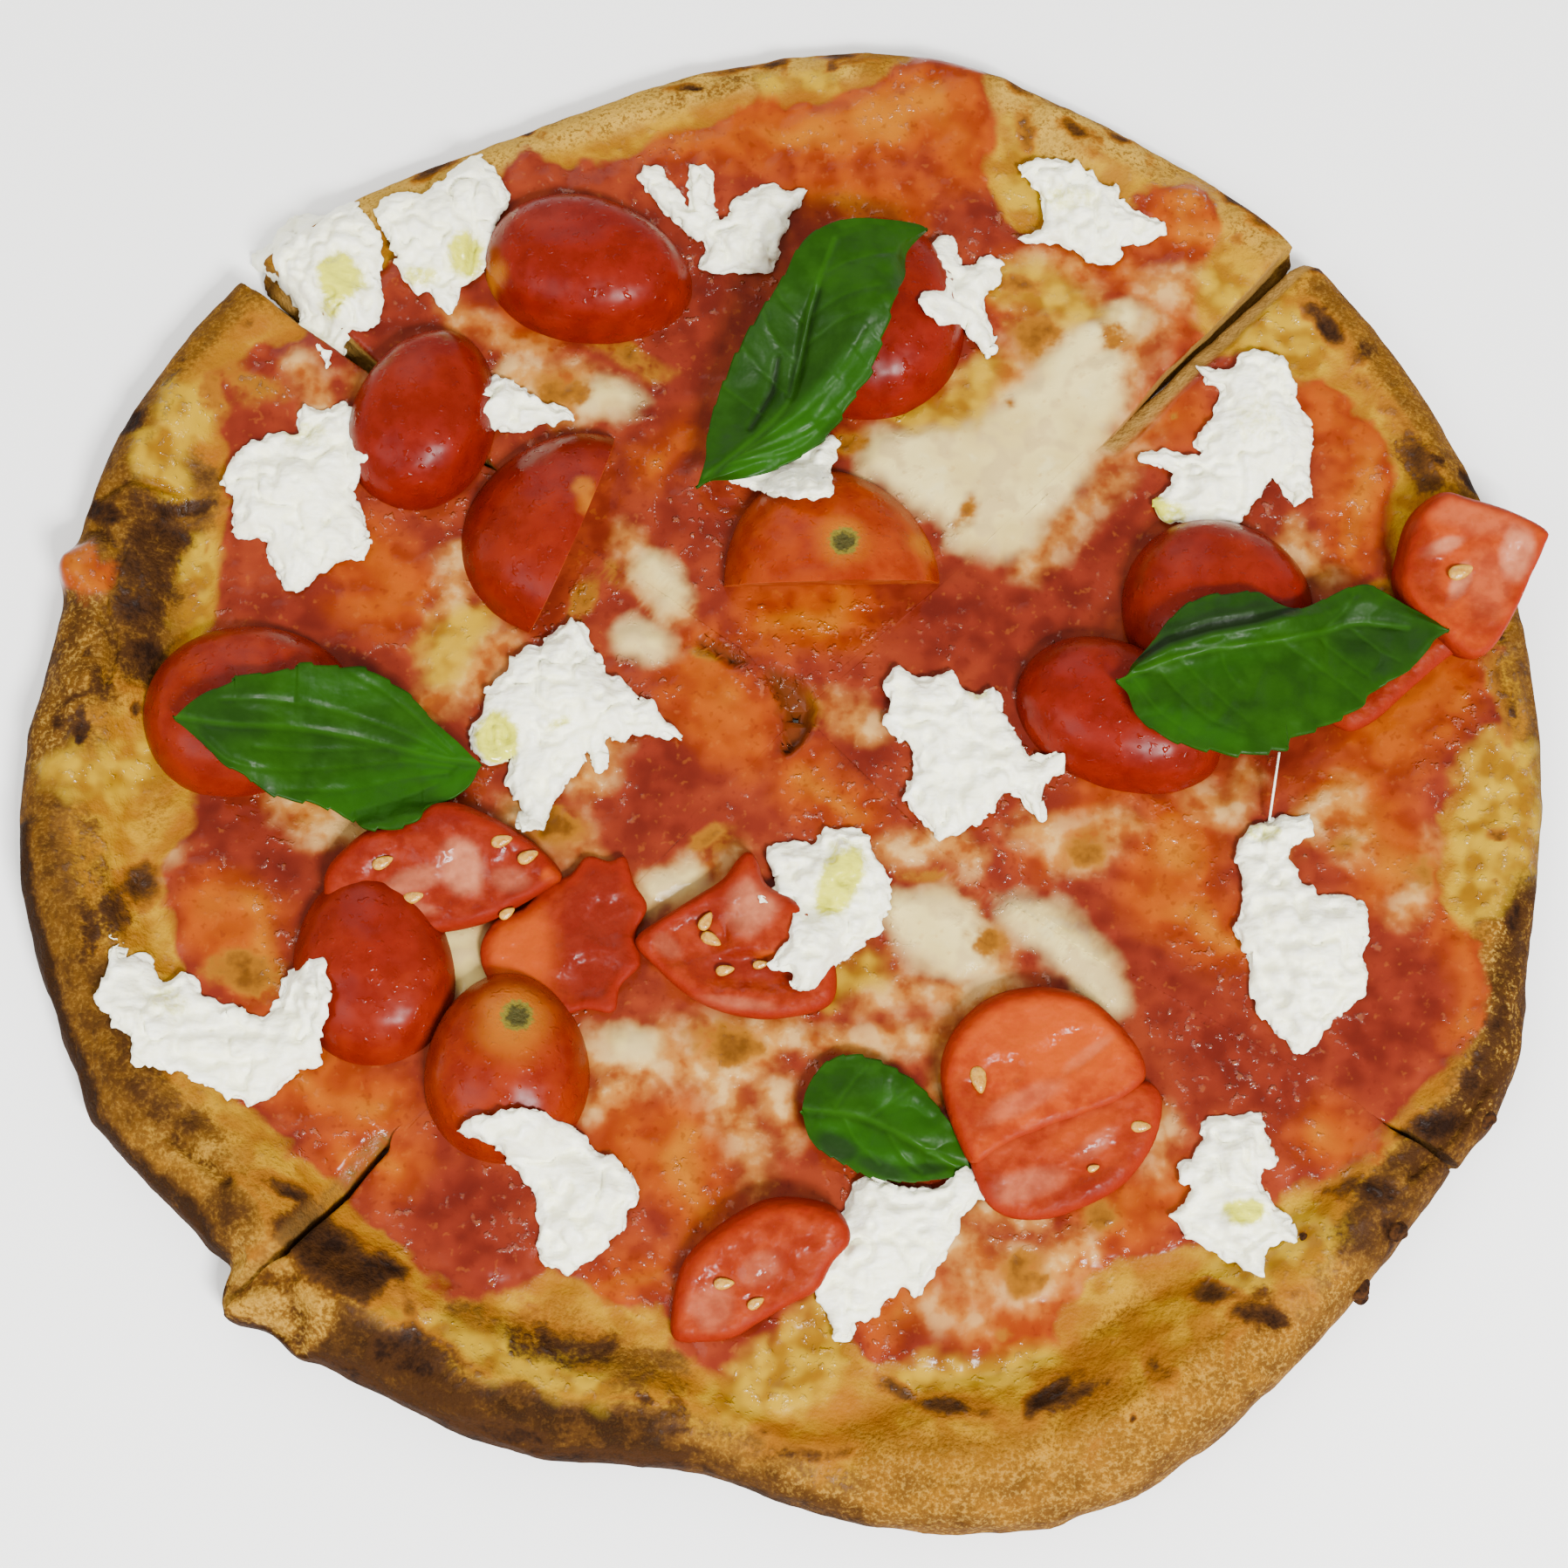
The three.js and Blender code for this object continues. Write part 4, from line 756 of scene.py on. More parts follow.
def shape_slice(piece, slice_name):
    """Raises the sauce and cheese on a slice, roughens its crust, and paints what is where."""
    places = vertices_mm(piece)
    normals = normals_of(piece)
    crumb, cut_side_shade, upward = close_cuts(places, normals, slice_name)
    wander = np.stack([rough_noise(places, 7, seed, 3) for seed in (11, 12)], axis=1)
    flat = places[:, :2] + 2.2 * wander
    sauce = np.maximum(inside_outline(flat, SAUCE_OUTLINE), inside_strokes(flat, SAUCE_SPOTS))
    cheese = inside_strokes(flat, BAKED_CHEESE)
    white = inside_strokes(flat, WHITE_CHEESE)
    thin = inside_strokes(flat, THIN_SAUCE)
    deep = inside_strokes(flat, DEEP_SAUCE)
    oil = inside_strokes(flat, OIL_POOLS)
    hollow = ramp(inside_strokes(places[:, :2] + 0.5 * wander, HOLLOWS), -1.1, 1.2)
    hollow_top = dough_ground.at(places[:, :2]) + 2.5 - (HOLLOW_DEPTH + 2.0) * hollow
    toast = toasting(places[:, :2] + 0.8 * wander, places)
    inset = edge_inset(places[:, :2])
    angle = np.degrees(np.arctan2(*(places[:, 1::-1].T))) + 2.0 * wander[:, 0]
    around_in = inset + 2.0 * wander[:, 1]
    crease = ramp(inside_strokes(places[:, :2] + 0.8 * wander, CREASES), -0.9, 0.7) * upward
    blots = ramp(rough_noise(places, 4.5, 95, 3), 0.15, 0.75) * rim_zones(angle, around_in, RIM_BLOTS)
    toast = np.maximum(toast, blots * ramp(0.5 - sauce, 0, 3))

    on_sauce = ramp(sauce, -2.0, 5)
    bare = 1 - on_sauce
    rise = on_sauce * SAUCE_DEPTH * (1 + 0.3 * rough_noise(places, 10, 21, 2))
    rise += (0.5 * ramp(cheese, -1, 4) + 0.8 * ramp(white, -1.5, 3)) * on_sauce * CHEESE_DEPTH
    rise -= ramp(thin, -2, 4) * on_sauce * 0.4
    rise += on_sauce * (1 - 0.6 * ramp(white, -1, 3)) * 0.35 * rough_noise(places, 4, 31, 2)
    blisters = np.maximum(rough_noise(places, 10, 41, 3), 0) * ramp(14 - inset, 0, 6)
    rise += bare * (1.6 * blisters + 0.75 * rough_noise(places, 4.5, 42, 3))
    rise -= 0.5 * bare * ramp(toast, 0.6, 0.95) + 1.5 * crease
    rise *= upward

    outward = ramp(0.6 - normals[:, 2], 0, 0.4)
    rim_side = outward * ramp(places[:, 2], 0.3, 2) * ramp(9 - inset, 0, 4)
    swell = rim_side * (0.5 * rough_noise(places, 6, 51, 3) - 0.2)
    places[:, 2] += rise
    places[:, 2] = np.where(hollow > 0.02, np.minimum(places[:, 2], hollow_top), places[:, 2])
    places[:, :2] += normals[:, :2] * swell[:, None]
    for x, y, reach, *move in TORN_SPOTS:
        near_spot = np.exp(-(((places[:, 0] - x) ** 2 + (places[:, 1] - y) ** 2) / reach**2))
        places += (near_spot * ramp(places[:, 2], 0.5, 3))[:, None] * np.array(move)
    places[:, 2] = np.maximum(places[:, 2], 0)
    set_vertices_mm(piece, places)

    on_rim = ramp(1.0 - sauce, 0, 3)
    char = np.maximum(toast - 0.3, 0) / 0.55 * on_rim
    # Painted shade: the sides of the narrow lower left cut are painted dark.
    char = np.maximum(np.maximum(char, 0.4 * cut_side_shade), rim_zones(angle, around_in, RIM_CHAR))
    # Painted shade: creases are painted dark in the char field.
    char = np.maximum(char, 0.5 * crease)
    toast = np.where(on_rim > 0.5, toast, 0.8 * toast)
    # Painted shade: the crust is painted browner low on its outer edge, where it curves away from the light.
    edge_shade = ramp(6.5 - places[:, 2], 0, 4) * ramp(7 - inset, 0, 3)
    pale = rim_zones(angle, around_in, RIM_PALE)
    brown = np.maximum(rim_zones(angle, around_in, RIM_BROWN), 0.75 * edge_shade * (1 - 0.8 * pale))
    brown = np.maximum(brown, 0.3 * ramp(3.5 - around_in, 0, 4) * ramp(wander[:, 0], -0.5, 0.3))
    gold = np.maximum(rim_zones(angle, around_in, RIM_GOLD), 0.85 * ramp(sauce, -9, -1) * ramp(inset, 5, 11))
    painted = {
        "sauce": sauce, "cheese": cheese, "white": white, "thin": thin, "deep": deep, "oil": oil,
        "toast": np.clip(toast * (1 - crumb), 0, 1), "char": np.clip(char * (1 - crumb), 0, 1),
        "crumb": crumb, "brown": brown, "hollow": hollow, "pale": pale,
        "flour": rim_zones(angle, around_in, RIM_FLOUR), "gold": gold * bare,
    }
    for name, values in painted.items():
        paint(piece, name, values)


def make_slices():
    material = baked_material()
    for place, melted in SLICES.items():
        piece = node_copy(f"dough_{place}", f"slice_{place}")
        apply_modifier(piece, "knead", "REMESH", mode="VOXEL", voxel_size=SLICE_MESH * MM)
        apply_modifier(piece, "soften", "SMOOTH", factor=0.6, iterations=SLICE_SMOOTHING)
        shape_slice(piece, place)
        finish_piece(piece, material, [f"dough_{place}", f"sauce_{place}", *melted])


# ---- Resting on what is there ------------------------------------------------------------------

GROUND_STEP = 1.5  # mm between the places at which heights are taken
GROUND_REACH = 141
RAY_HEIGHT = 60  # higher than anything on the pizza


def solid_tree(nodes):
    """The faces of some CAD solids, in mm, for finding how high they lie."""
    points, faces = [], []
    for node in nodes:
        start = len(points)
        points += [tuple(v.co / MM) for v in node.data.vertices]
        faces += [tuple(start + k for k in face.vertices) for face in node.data.polygons]
    return BVHTree.FromPolygons(points, faces)


def below(tree, x, y):
    """Where a line straight down at x, y first meets a solid, if it does."""
    return tree.ray_cast(Vector((x, y, RAY_HEIGHT)), Vector((0, 0, -1)))[0]


def smoothed(grid, share):
    """A grid in which each value takes this share from each of its four neighbours."""
    padded = np.pad(grid, 1, mode="edge")
    around = padded[2:, 1:-1] + padded[:-2, 1:-1] + padded[1:-1, 2:] + padded[1:-1, :-2]
    return (1 - 4 * share) * grid + share * around


class Ground:
    """The height of some CAD solids, smoothed a little, anywhere on the pizza."""

    def __init__(self, prefixes, soften):
        nodes = [node for node in bpy.data.objects if node.type == "MESH" and node.name.startswith(prefixes)]
        tree = solid_tree(nodes)
        steps = np.arange(-GROUND_REACH, GROUND_REACH + 1, GROUND_STEP)
        heights = np.zeros((len(steps), len(steps)))
        for i, x in enumerate(steps):
            for k, y in enumerate(steps):
                hit = below(tree, x, y)
                heights[i, k] = hit.z if hit else 0
        self.heights = self.bridged(heights)
        for _ in range(soften):
            self.heights = smoothed(self.heights, 0.15)

    @staticmethod
    def bridged(heights):
        """The heights with gaps as narrow as one step filled in."""
        padded = np.pad(heights, 1, mode="edge")
        pairs = [
            np.minimum(padded[:-2, 1:-1], padded[2:, 1:-1]), np.minimum(padded[1:-1, :-2], padded[1:-1, 2:]),
            np.minimum(padded[:-2, :-2], padded[2:, 2:]), np.minimum(padded[2:, :-2], padded[:-2, 2:]),
        ]
        return np.maximum(heights, np.max(pairs, axis=0))

    def at(self, flat):
        spot = (flat + GROUND_REACH) / GROUND_STEP
        low = np.clip(np.floor(spot).astype(int), 0, len(self.heights) - 2)
        t = np.clip(spot - low, 0, 1)
        total = np.zeros(len(flat))
        for i, k in [(0, 0), (1, 0), (0, 1), (1, 1)]:
            weight = (t[:, 0] if i else 1 - t[:, 0]) * (t[:, 1] if k else 1 - t[:, 1])
            total += weight * self.heights[low[:, 0] + i, low[:, 1] + k]
        return total


# The plans of toppings are drawn on a level this high, and slide forwards as a point rises above it.
PLAN_LEVEL = 9
SLIDE = 0.287  # mm forwards for each mm up


def slide_forwards(places, level):
    places[:, 1] -= SLIDE * (places[:, 2] - level)


def curve_through(points, count, closed=False):
    """Evenly many places along a smooth curve through some points."""
    points = np.array(points, float)
    if closed:
        points = np.concatenate([points[-1:], points, points[:2]])
    else:
        points = np.concatenate([2 * points[:1] - points[1:2], points, 2 * points[-1:] - points[-2:-1]])
    fine = []
    for p0, p1, p2, p3 in zip(points, points[1:], points[2:], points[3:]):
        for t in np.arange(0, 1, 0.05):
            bend = (2 * p0 - 5 * p1 + 4 * p2 - p3) * t + (3 * (p1 - p2) + p3 - p0) * t * t
            fine.append(p1 + 0.5 * t * (p2 - p0 + bend))
    fine.append(points[-2])
    fine = np.array(fine)
    lengths = np.concatenate([[0], np.cumsum(np.hypot(*np.diff(fine[:, :2], axis=0).T))])
    marks = np.linspace(0, lengths[-1], count + 1 if closed else count)
    found = np.stack([np.interp(marks, lengths, fine[:, k]) for k in range(points.shape[1])], axis=1)
    return found[:-1] if closed else found


SLAB_DEPTH = 6


def slab(name, outline, voxel):
    """A flat slab of this outline with small even faces, ready to be shaped."""
    piece = new_piece(name, mesh_of(name, [(x, y, 0) for x, y in outline], [range(len(outline))]))
    edit_all(
        piece,
        (bpy.ops.mesh.extrude_region_move, {"TRANSFORM_OT_translate": {"value": (0, 0, SLAB_DEPTH * MM)}}),
        (bpy.ops.mesh.normals_make_consistent, {"inside": False}),
    )
    apply_modifier(piece, "even", "REMESH", mode="VOXEL", voxel_size=voxel * MM)
    return piece


# ---- Whole-skinned tomato pieces ---------------------------------------------------------------

# Halves lying on their cut: node, x, y, length, width, height, turn, how orange, x and y of the stem scar.
DOMES = [
    (1, 15.5, 80.5, 40, 36, 14, 80, 0.0, None),
    (3, -94, 5, 37, 31, 11, 12, 0.25, None),
    (4, -70.5, -41, 35, 28, 11, 100, 0.15, None),
    (5, -47, -58.5, 33, 28, 14, 90, 0.45, (-44.5, -51.5)),
    (11, -36, 89, 39, 28, 13, -14, 0.0, None),
    (12, -65, 60, 35, 26, 13, 72, 0.0, None),
    (14, 77, 24, 34, 33, 13, 0, 0.0, None),
    (15, 59, 4, 38, 26, 12, -27, 0.0, None),
]
# Halves whose cut stands upright, with x and y of the cut's middle, and the depth from it as the width.
ON_EDGE = [
    (2, 8.5, 29.0, 38.5, 22, 13, 1, 1.0, (10.5, 33.0)),
    (13, -38.5, 38.5, 40, 19, 13, 69, 0.1, None),
]
DOME_SUNK = 1.2  # how deep a half sinks into what it lies on
UPRIGHT_LEAN = 0.29  # how far a standing half leans back for each mm of its height
# Warm glows where the skin is less ripe: x, y, reach.
GLOWS = [(-53, 86, 2.8), (-34, 40, 2.2), (-35, 43, 2), (10.5, 33, 5), (-45, -52, 7), (24, 34, 3)]

RED_SKIN_COLORS = (0.098, 0.0032, 0.0010), (0.134, 0.0056, 0.0015)
ORANGE_SKIN_COLORS = (0.160, 0.0115, 0.0003), (0.218, 0.0250, 0.0004)
CUT_SIDE_COLORS = (0.21, 0.021, 0.002), (0.29, 0.048, 0.006)
GLOW_COLOR = (0.31, 0.092, 0.0006)
SCAR_COLOR = (0.13, 0.10, 0.010)
SCAR_MIDDLE_COLOR = (0.040, 0.034, 0.007)


def skin_material():
    s = Shader("tomato_skin")
    mottled = s.rise(s.grain(5, 3), 0.3, 0.7)
    red = s.mix(mottled, *RED_SKIN_COLORS)
    orange = s.mix(mottled, *ORANGE_SKIN_COLORS)
    color = s.mix(s.field("orange"), red, orange)
    color = s.mix(s.rise(s.field("glow"), 0.1, 1.0, 0, 0.75), color, GLOW_COLOR)
    cut = s.rise(s.field("cut"), 0.94, 0.99)
    color = s.mix(cut, color, s.mix(mottled, *CUT_SIDE_COLORS))
    scar = s.maths("ADD", s.field("scar"), s.rise(s.grain(0.9), 0.3, 0.7, -0.12, 0.12))
    color = s.mix(s.rise(scar, 0.45, 0.65), color, SCAR_COLOR)
    color = s.mix(s.rise(scar, 0.7, 1.0), color, SCAR_MIDDLE_COLOR)
    drops = s.rise(s.grain(1.5, 1), 0.60, 0.72)
    roughness = s.blend(drops, s.rise(s.grain(2.5, 3), 0.3, 0.7, 0.24, 0.36), 0.10)
    roughness = s.blend(s.maths("MAXIMUM", cut, s.rise(scar, 0.4, 0.8)), roughness, 0.6)
    normal = s.bump(s.maths("MULTIPLY_ADD", drops, 0.2, s.grain(5, 1)), 0.4)
    normal = s.bump(s.maths("MULTIPLY", s.field("scar"), s.grain(0.7, 2)), 0.5, normal)
    s.surface.inputs["Subsurface Radius"].default_value = (1.0, 0.25, 0.1)
    return s.finish(
        color, roughness, normal, Subsurface_Weight=0.12, Subsurface_Scale=1.5 * MM, Specular_IOR_Level=0.09
    )


def make_dome(material, node, x, y, length, width, height, turn, orange, scar, upright=False):
    bpy.ops.mesh.primitive_uv_sphere_add(segments=72, ring_count=40, radius=1, location=(0, 0, 0))
    piece = bpy.context.active_object
    piece.name = f"tomato_skin_{node}"
    depth = width if upright else width / 2
    piece.scale = (length / 2 * MM, depth * MM, (height + DOME_SUNK) * MM)
    bpy.ops.object.transform_apply(location=False, rotation=False, scale=True)
    halving = {"plane_co": (0, 0, 0), "use_fill": True, "clear_inner": True}
    facings = [(0, 0, 1), (0, 1, 0)] if upright else [(0, 0, 1)]
    edit_all(
        piece,
        *((bpy.ops.mesh.bisect, {"plane_no": facing, **halving}) for facing in facings),
        (bpy.ops.mesh.normals_make_consistent, {"inside": False}),
    )
    local = vertices_mm(piece)
    cut_side = ramp(0.05 - np.abs(local[:, 1]), 0, 0.04) * upright
    local[:, 1] *= 1 - 0.10 * local[:, 0] / (length / 2)
    flatter = 1 - 0.10 * ramp(local[:, 2] / height, 0.6, 1.1)
    local[:, 2] *= flatter
    if upright:
        local[:, 1] -= UPRIGHT_LEAN * local[:, 2]
    places = turned(local, turn)
    places[:, :2] += (x, y)
    dents = 0.5 * rough_noise(places, 14, 200 + node, 2) * ramp(local[:, 2], 0.5, 4)
    places[:, 2] += dents
    bed = bed_ground.at(np.array([[x, y]]))[0]
    places[:, 2] += bed - DOME_SUNK
    pressed = np.zeros(len(places))
    if scar:
        away = np.hypot(places[:, 0] - scar[0], places[:, 1] - scar[1])
        pressed = np.exp(-((away / 3.0) ** 2))
        places[:, 2] -= 0.9 * pressed
    set_vertices_mm(piece, places)
    glow = np.zeros(len(places))
    for gx, gy, reach in GLOWS:
        away = np.hypot(places[:, 0] - gx, places[:, 1] - gy) + 1.5 * rough_noise(places, 4, 205)
        glow = np.maximum(glow, np.exp(-((away / reach) ** 2)))
    # Painted light: the skin is painted more orange just above the bed, against the shade where a half meets
    # what it lies on.
    painted_base_light = 0.1 * ramp(3.0 - local[:, 2], 0, 3.0)
    paint(piece, "orange", np.clip(orange + painted_base_light + 0.25 * rough_noise(places, 16, 210), 0, 1))
    paint(piece, "glow", glow)
    paint(piece, "cut", cut_side)
    paint(piece, "scar", pressed * 1.3)
    finish_piece(piece, material, [f"tomato_{node}"])
    bpy.ops.object.shade_smooth_by_angle(angle=math.radians(50))


def make_domes():
    material = skin_material()
    for row in DOMES:
        make_dome(material, *row)
    for row in ON_EDGE:
        make_dome(material, *row, upright=True)


# ---- Cut tomato pieces -------------------------------------------------------------------------

# rise is the height of the cut face over the bed, at the piece's middle, and tilt its climb per mm along
# X and Y. round is how far in from the edge the piece rounds off, and warm how orange it is. pockets, pale,
# deep and glow are ellipses: x, y, length, width, turn, and the depth or strength; pale is paler flesh, and
# in its narrow streaks a painted highlight. seeds: x, y, turn, size.
CUT_PIECES = [
    {
        "node": 17, "warm": 0.95, "rise": 9.5, "tilt": (0.12, 0.1), "round": 1.6,
        "outline": [
            (107.5, 26), (108.5, 34), (111, 40.5), (115.5, 44.3), (120, 43.2), (127, 40.7), (133, 37),
            (132.5, 34), (130, 28.5), (127, 22), (123, 15.5), (119, 13.5), (114, 17),
        ],
        "pockets": [(115, 28, 9, 7, 60, 0.9), (127, 29.5, 5, 9, -10, 0.4)],
        "pale": [
            (114.5, 31, 7, 2.6, 20, 1), (117.5, 25, 3, 6, -25, 1), (127, 29.5, 5.5, 10, -12, 1),
            (109.5, 35, 2, 4, -30, 0.9), (121, 37, 18, 8, -20, 0.25), (122, 24, 8, 12, 0, 0.2),
            (131, 38, 4, 5, 0, 0.4),
        ],
        "deep": [(110.5, 29, 7, 16, 15, 0.8), (121, 18, 6, 7, 30, 0.5)],
        "glow": [(120, 39, 14, 8, -15, 0.5), (130, 36, 6, 5, 0, 0.8)], "seeds": [(117.6, 29.3, 20, 1.25)],
    },
    {
        "node": 16, "warm": 0.3, "rise": 5.5, "tilt": (0.1, 0.05), "round": 4.5,
        "outline": [
            (94, 3.5), (96.5, 1.2), (99, 0.5), (103, 2.5), (108, 7), (113, 11.5), (116, 14), (119, 15.8),
            (120.3, 19), (118.5, 21.5), (114, 21), (108, 17), (100, 10), (95, 6.5),
        ],
        "pockets": [], "pale": [], "deep": [(105, 9, 22, 3, 45, 0.4)], "glow": [], "seeds": [],
    },
    {
        "node": 18, "warm": 0.1, "rise": 7.0, "tilt": (0.0, 0.2), "round": 2.2,
        "outline": [
            (-78.7, -25), (-78, -31.5), (-73, -33), (-66, -35), (-60, -35.7), (-52, -34.2), (-46, -31.2),
            (-40, -27.5), (-38, -25.5), (-41, -21.5), (-46, -17.5), (-52, -14.2), (-57, -12.3),
            (-62, -13), (-66, -16), (-71, -17), (-75, -20),
        ],
        "pockets": [(-68, -24, 10, 5, 15, 0.5), (-55, -26, 9, 9, 30, 0.6), (-46, -24, 7, 8, 0, 0.5)],
        "pale": [
            (-55, -25, 7, 9, 20, 1), (-63, -27, 12, 4, 15, 0.5), (-47, -27, 7, 4, -10, 0.35),
            (-66, -31, 12, 2.5, -10, 0.4),
        ],
        "deep": [(-62, -16, 26, 6, 4, 1), (-73, -21, 8, 6, 30, 0.6), (-44, -29.5, 10, 4, 25, 0.6)],
        "glow": [(-39.5, -26, 4, 3, 30, 1)],
        "seeds": [
            (-68.5, -23, 25, 1), (-63.2, -29.2, 15, 1), (-48.2, -19.2, 15, 1), (-43.7, -22, 25, 1),
            (-47.2, -32, 35, 0.8),
        ],
    },
    {
        "node": 6, "warm": 0.2, "rise": 2.9, "tilt": (0.0, 0.03), "round": 6.0,
        "outline": [
            (-51, -43), (-52, -38), (-49.5, -33.5), (-44.5, -31), (-40.5, -26.5), (-37, -25.5),
            (-34, -22), (-30, -23), (-27.5, -22), (-25.8, -27), (-23.5, -31), (-25.5, -36), (-24.5, -41),
            (-28, -45), (-29, -49.5), (-34, -49), (-38, -50), (-42, -46.5), (-47, -47),
        ],
        "pockets": [(-30, -33, 9, 8, 0, 1.0), (-33, -43, 9, 7, 20, 0.8)], "pale": [],
        "deep": [(-31, -38, 16, 30, 10, 0.9), (-31, -25, 14, 6, 0, 0.9)],
        "glow": [(-45, -38, 12, 16, 0, 0.85)], "seeds": [],
    },
    {
        "node": 7, "warm": 0.25, "rise": 6.0, "tilt": (0.0, 0.12), "round": 2.2,
        "outline": [
            (-25.5, -37), (-21, -33), (-15, -29), (-10.5, -26), (-8, -22.5), (-6, -21), (-4.5, -23),
            (-3, -27), (2, -30), (7, -36), (9, -43), (8, -48), (3, -50), (-4, -50.7), (-11, -49.3),
            (-16.5, -46.5), (-21.5, -42),
        ],
        "pockets": [(-14.5, -36, 13, 9, 20, 1.6), (-6, -42, 18, 6, -5, 1.6)],
        "pale": [(-5, -31, 8, 10, -30, 0.75), (-20, -38, 6, 3, -40, 0.3), (-9, -48, 16, 2.4, -5, 0.35)],
        "deep": [(-12, -30, 10, 6, 30, 0.7), (-6, -41.5, 20, 5, -5, 0.8)],
        "glow": [(-3, -40, 4, 2, 0, 0.9)],
        "seeds": [
            (-13.3, -33.4, 60, 0.95), (-12.4, -36.6, -30, 1), (-10, -42, 10, 0.85), (-4, -41, 10, 0.7),
        ],
    },
    {
        "node": 8, "warm": 1.0, "rise": 7.0, "tilt": (0.0, 0.07), "round": 2.5,
        "outline": [
            (26.5, -58), (28.5, -53), (32.5, -48.5), (37, -46), (42, -45), (47, -45.2), (52, -47),
            (56, -50.5), (59.5, -55), (61, -59), (60, -61.8), (56, -65), (50, -67.3), (44, -69.5),
            (38, -72), (32, -75.5), (29, -71), (26.8, -64),
        ],
        "pockets": [(36, -60, 9, 6, 30, 0.5), (48, -56, 12, 6, 25, 0.4)],
        "pale": [(40, -65, 14, 4, 25, 0.3), (51, -57, 10, 2, 35, 0.3)],
        "deep": [(31, -66, 7, 12, 20, 0.6), (57, -52, 8, 4, -50, 0.5), (40, -46, 14, 2.5, 0, 0.4)],
        "glow": [(48, -55, 20, 14, 10, 0.8), (40, -52, 14, 8, 20, 0.5)],
        "seeds": [(32.6, -60.6, -80, 1.25)],
    },
    {
        "node": 9, "warm": 0.45, "rise": 4.9, "tilt": (0.0, 0.05), "round": 3.4,
        "outline": [
            (31, -72), (36, -69), (40, -67), (45, -65), (50, -63), (56, -61), (61, -61), (63.5, -64),
            (62.6, -70), (59.5, -75.5), (55.5, -79.5), (49, -82.8), (43, -84.5), (37, -84), (33, -80.5),
        ],
        "pockets": [(52, -74, 10, 5, 40, 0.4)],
        "pale": [(40, -79, 14, 5, 15, 0.4), (52, -72, 8, 3, 40, 0.3)],
        "deep": [(50, -79.5, 16, 3.5, 25, 0.7), (34, -79, 5, 6, 0, 0.6), (59, -72, 3, 8, -20, 0.4)],
        "glow": [(50, -70, 12, 4, 25, 0.4)], "seeds": [(59.6, -68.6, 0, 0.9), (51.5, -75.6, 20, 0.55)],
    },
    {
        "node": 10, "warm": 0.5, "rise": 6.2, "tilt": (0.05, 0.16), "round": 2.6,
        "outline": [
            (-18, -104), (-18.5, -99), (-17, -92), (-14, -88), (-9, -84), (-3, -81), (3, -80.7),
            (9, -82.5), (11, -87), (8, -91), (5.5, -95.5), (1, -98), (-4, -101), (-8, -103.5),
            (-12, -104.3),
        ],
        "pockets": [(-10, -94, 8, 5, 40, 0.4), (-3, -95, 8, 6, 30, 0.4)],
        "pale": [(-12, -99, 7, 7, 20, 0.35), (-4, -93, 7, 5, 30, 0.35)],
        "deep": [(-16, -92, 4, 12, -20, 0.6), (2, -92, 8, 12, -30, 0.4), (-6, -89, 14, 3, 35, 0.3)],
        "glow": [], "seeds": [(-9.8, -94.2, 5, 0.9), (-4.6, -97.4, 30, 0.8)],
    },
]

FLESH_COLORS = (0.115, 0.006, 0.002), (0.165, 0.012, 0.0035)
WARM_FLESH_COLORS = (0.21, 0.018, 0.001), (0.29, 0.036, 0.001)
GLOWING_FLESH_COLOR = (0.32, 0.045, 0.0008)
PALE_FLESH_AND_HIGHLIGHT_COLOR = (0.37, 0.125, 0.060)
DEEP_FLESH_COLOR = (0.10, 0.0055, 0.0025)
FLESH_EDGE_COLOR = (0.17, 0.010, 0.003)
FLESH_SIDE_COLOR = (0.15, 0.0075, 0.0025)


def flesh_material():
    s = Shader("tomato_flesh")
    streaks = s.grain(3.0, 2, 0.5)
    red = s.mix(s.rise(streaks, 0.3, 0.7), *FLESH_COLORS)
    warm = s.mix(s.rise(streaks, 0.3, 0.7), *WARM_FLESH_COLORS)
    flesh = s.mix(s.field("warm"), red, warm)
    color = s.mix(s.field("glow"), flesh, GLOWING_FLESH_COLOR)
    # Pale is paler flesh, and in its narrow streaks a painted highlight.
    pale = s.maths("MULTIPLY", s.field("pale"), s.rise(streaks, 0.2, 0.7, 0.5, 1.0))
    color = s.mix(pale, color, PALE_FLESH_AND_HIGHLIGHT_COLOR)
    color = s.mix(s.maths("MULTIPLY", s.field("deep"), 0.8), color, DEEP_FLESH_COLOR)
    color = s.mix(s.rise(s.field("inside"), 0.6, 2.6, 0.75, 0), color, FLESH_EDGE_COLOR)
    color = s.mix(s.field("skin"), color, FLESH_SIDE_COLOR)
    at_edge = s.rise(s.field("inside"), 1.2, 3.6, 1, 0)
    roughness = s.blend(at_edge, s.rise(s.grain(3, 2), 0.35, 0.65, 0.14, 0.36), 0.5)
    s.put(s.blend(at_edge, 0.09, 0.03), s.surface.inputs["Specular IOR Level"])
    normal = s.bump(s.grain(3.2, 2, 0.45), 0.6)
    normal = s.bump(s.grain(0.9, 1), 0.06, normal)
    s.surface.inputs["Subsurface Radius"].default_value = (1.0, 0.3, 0.15)
    return s.finish(color, roughness, normal, Subsurface_Weight=0.2, Subsurface_Scale=1.2 * MM)


SEED_COLORS = (0.30, 0.125, 0.003), (0.45, 0.23, 0.02)


def seed_material():
    s = Shader("tomato_seed")
    color = s.mix(s.rise(s.grain(0.8), 0.3, 0.7), *SEED_COLORS)
    return s.finish(color, 0.2, s.bump(s.grain(0.6), 0.15), Subsurface_Weight=0.2, Subsurface_Scale=MM)


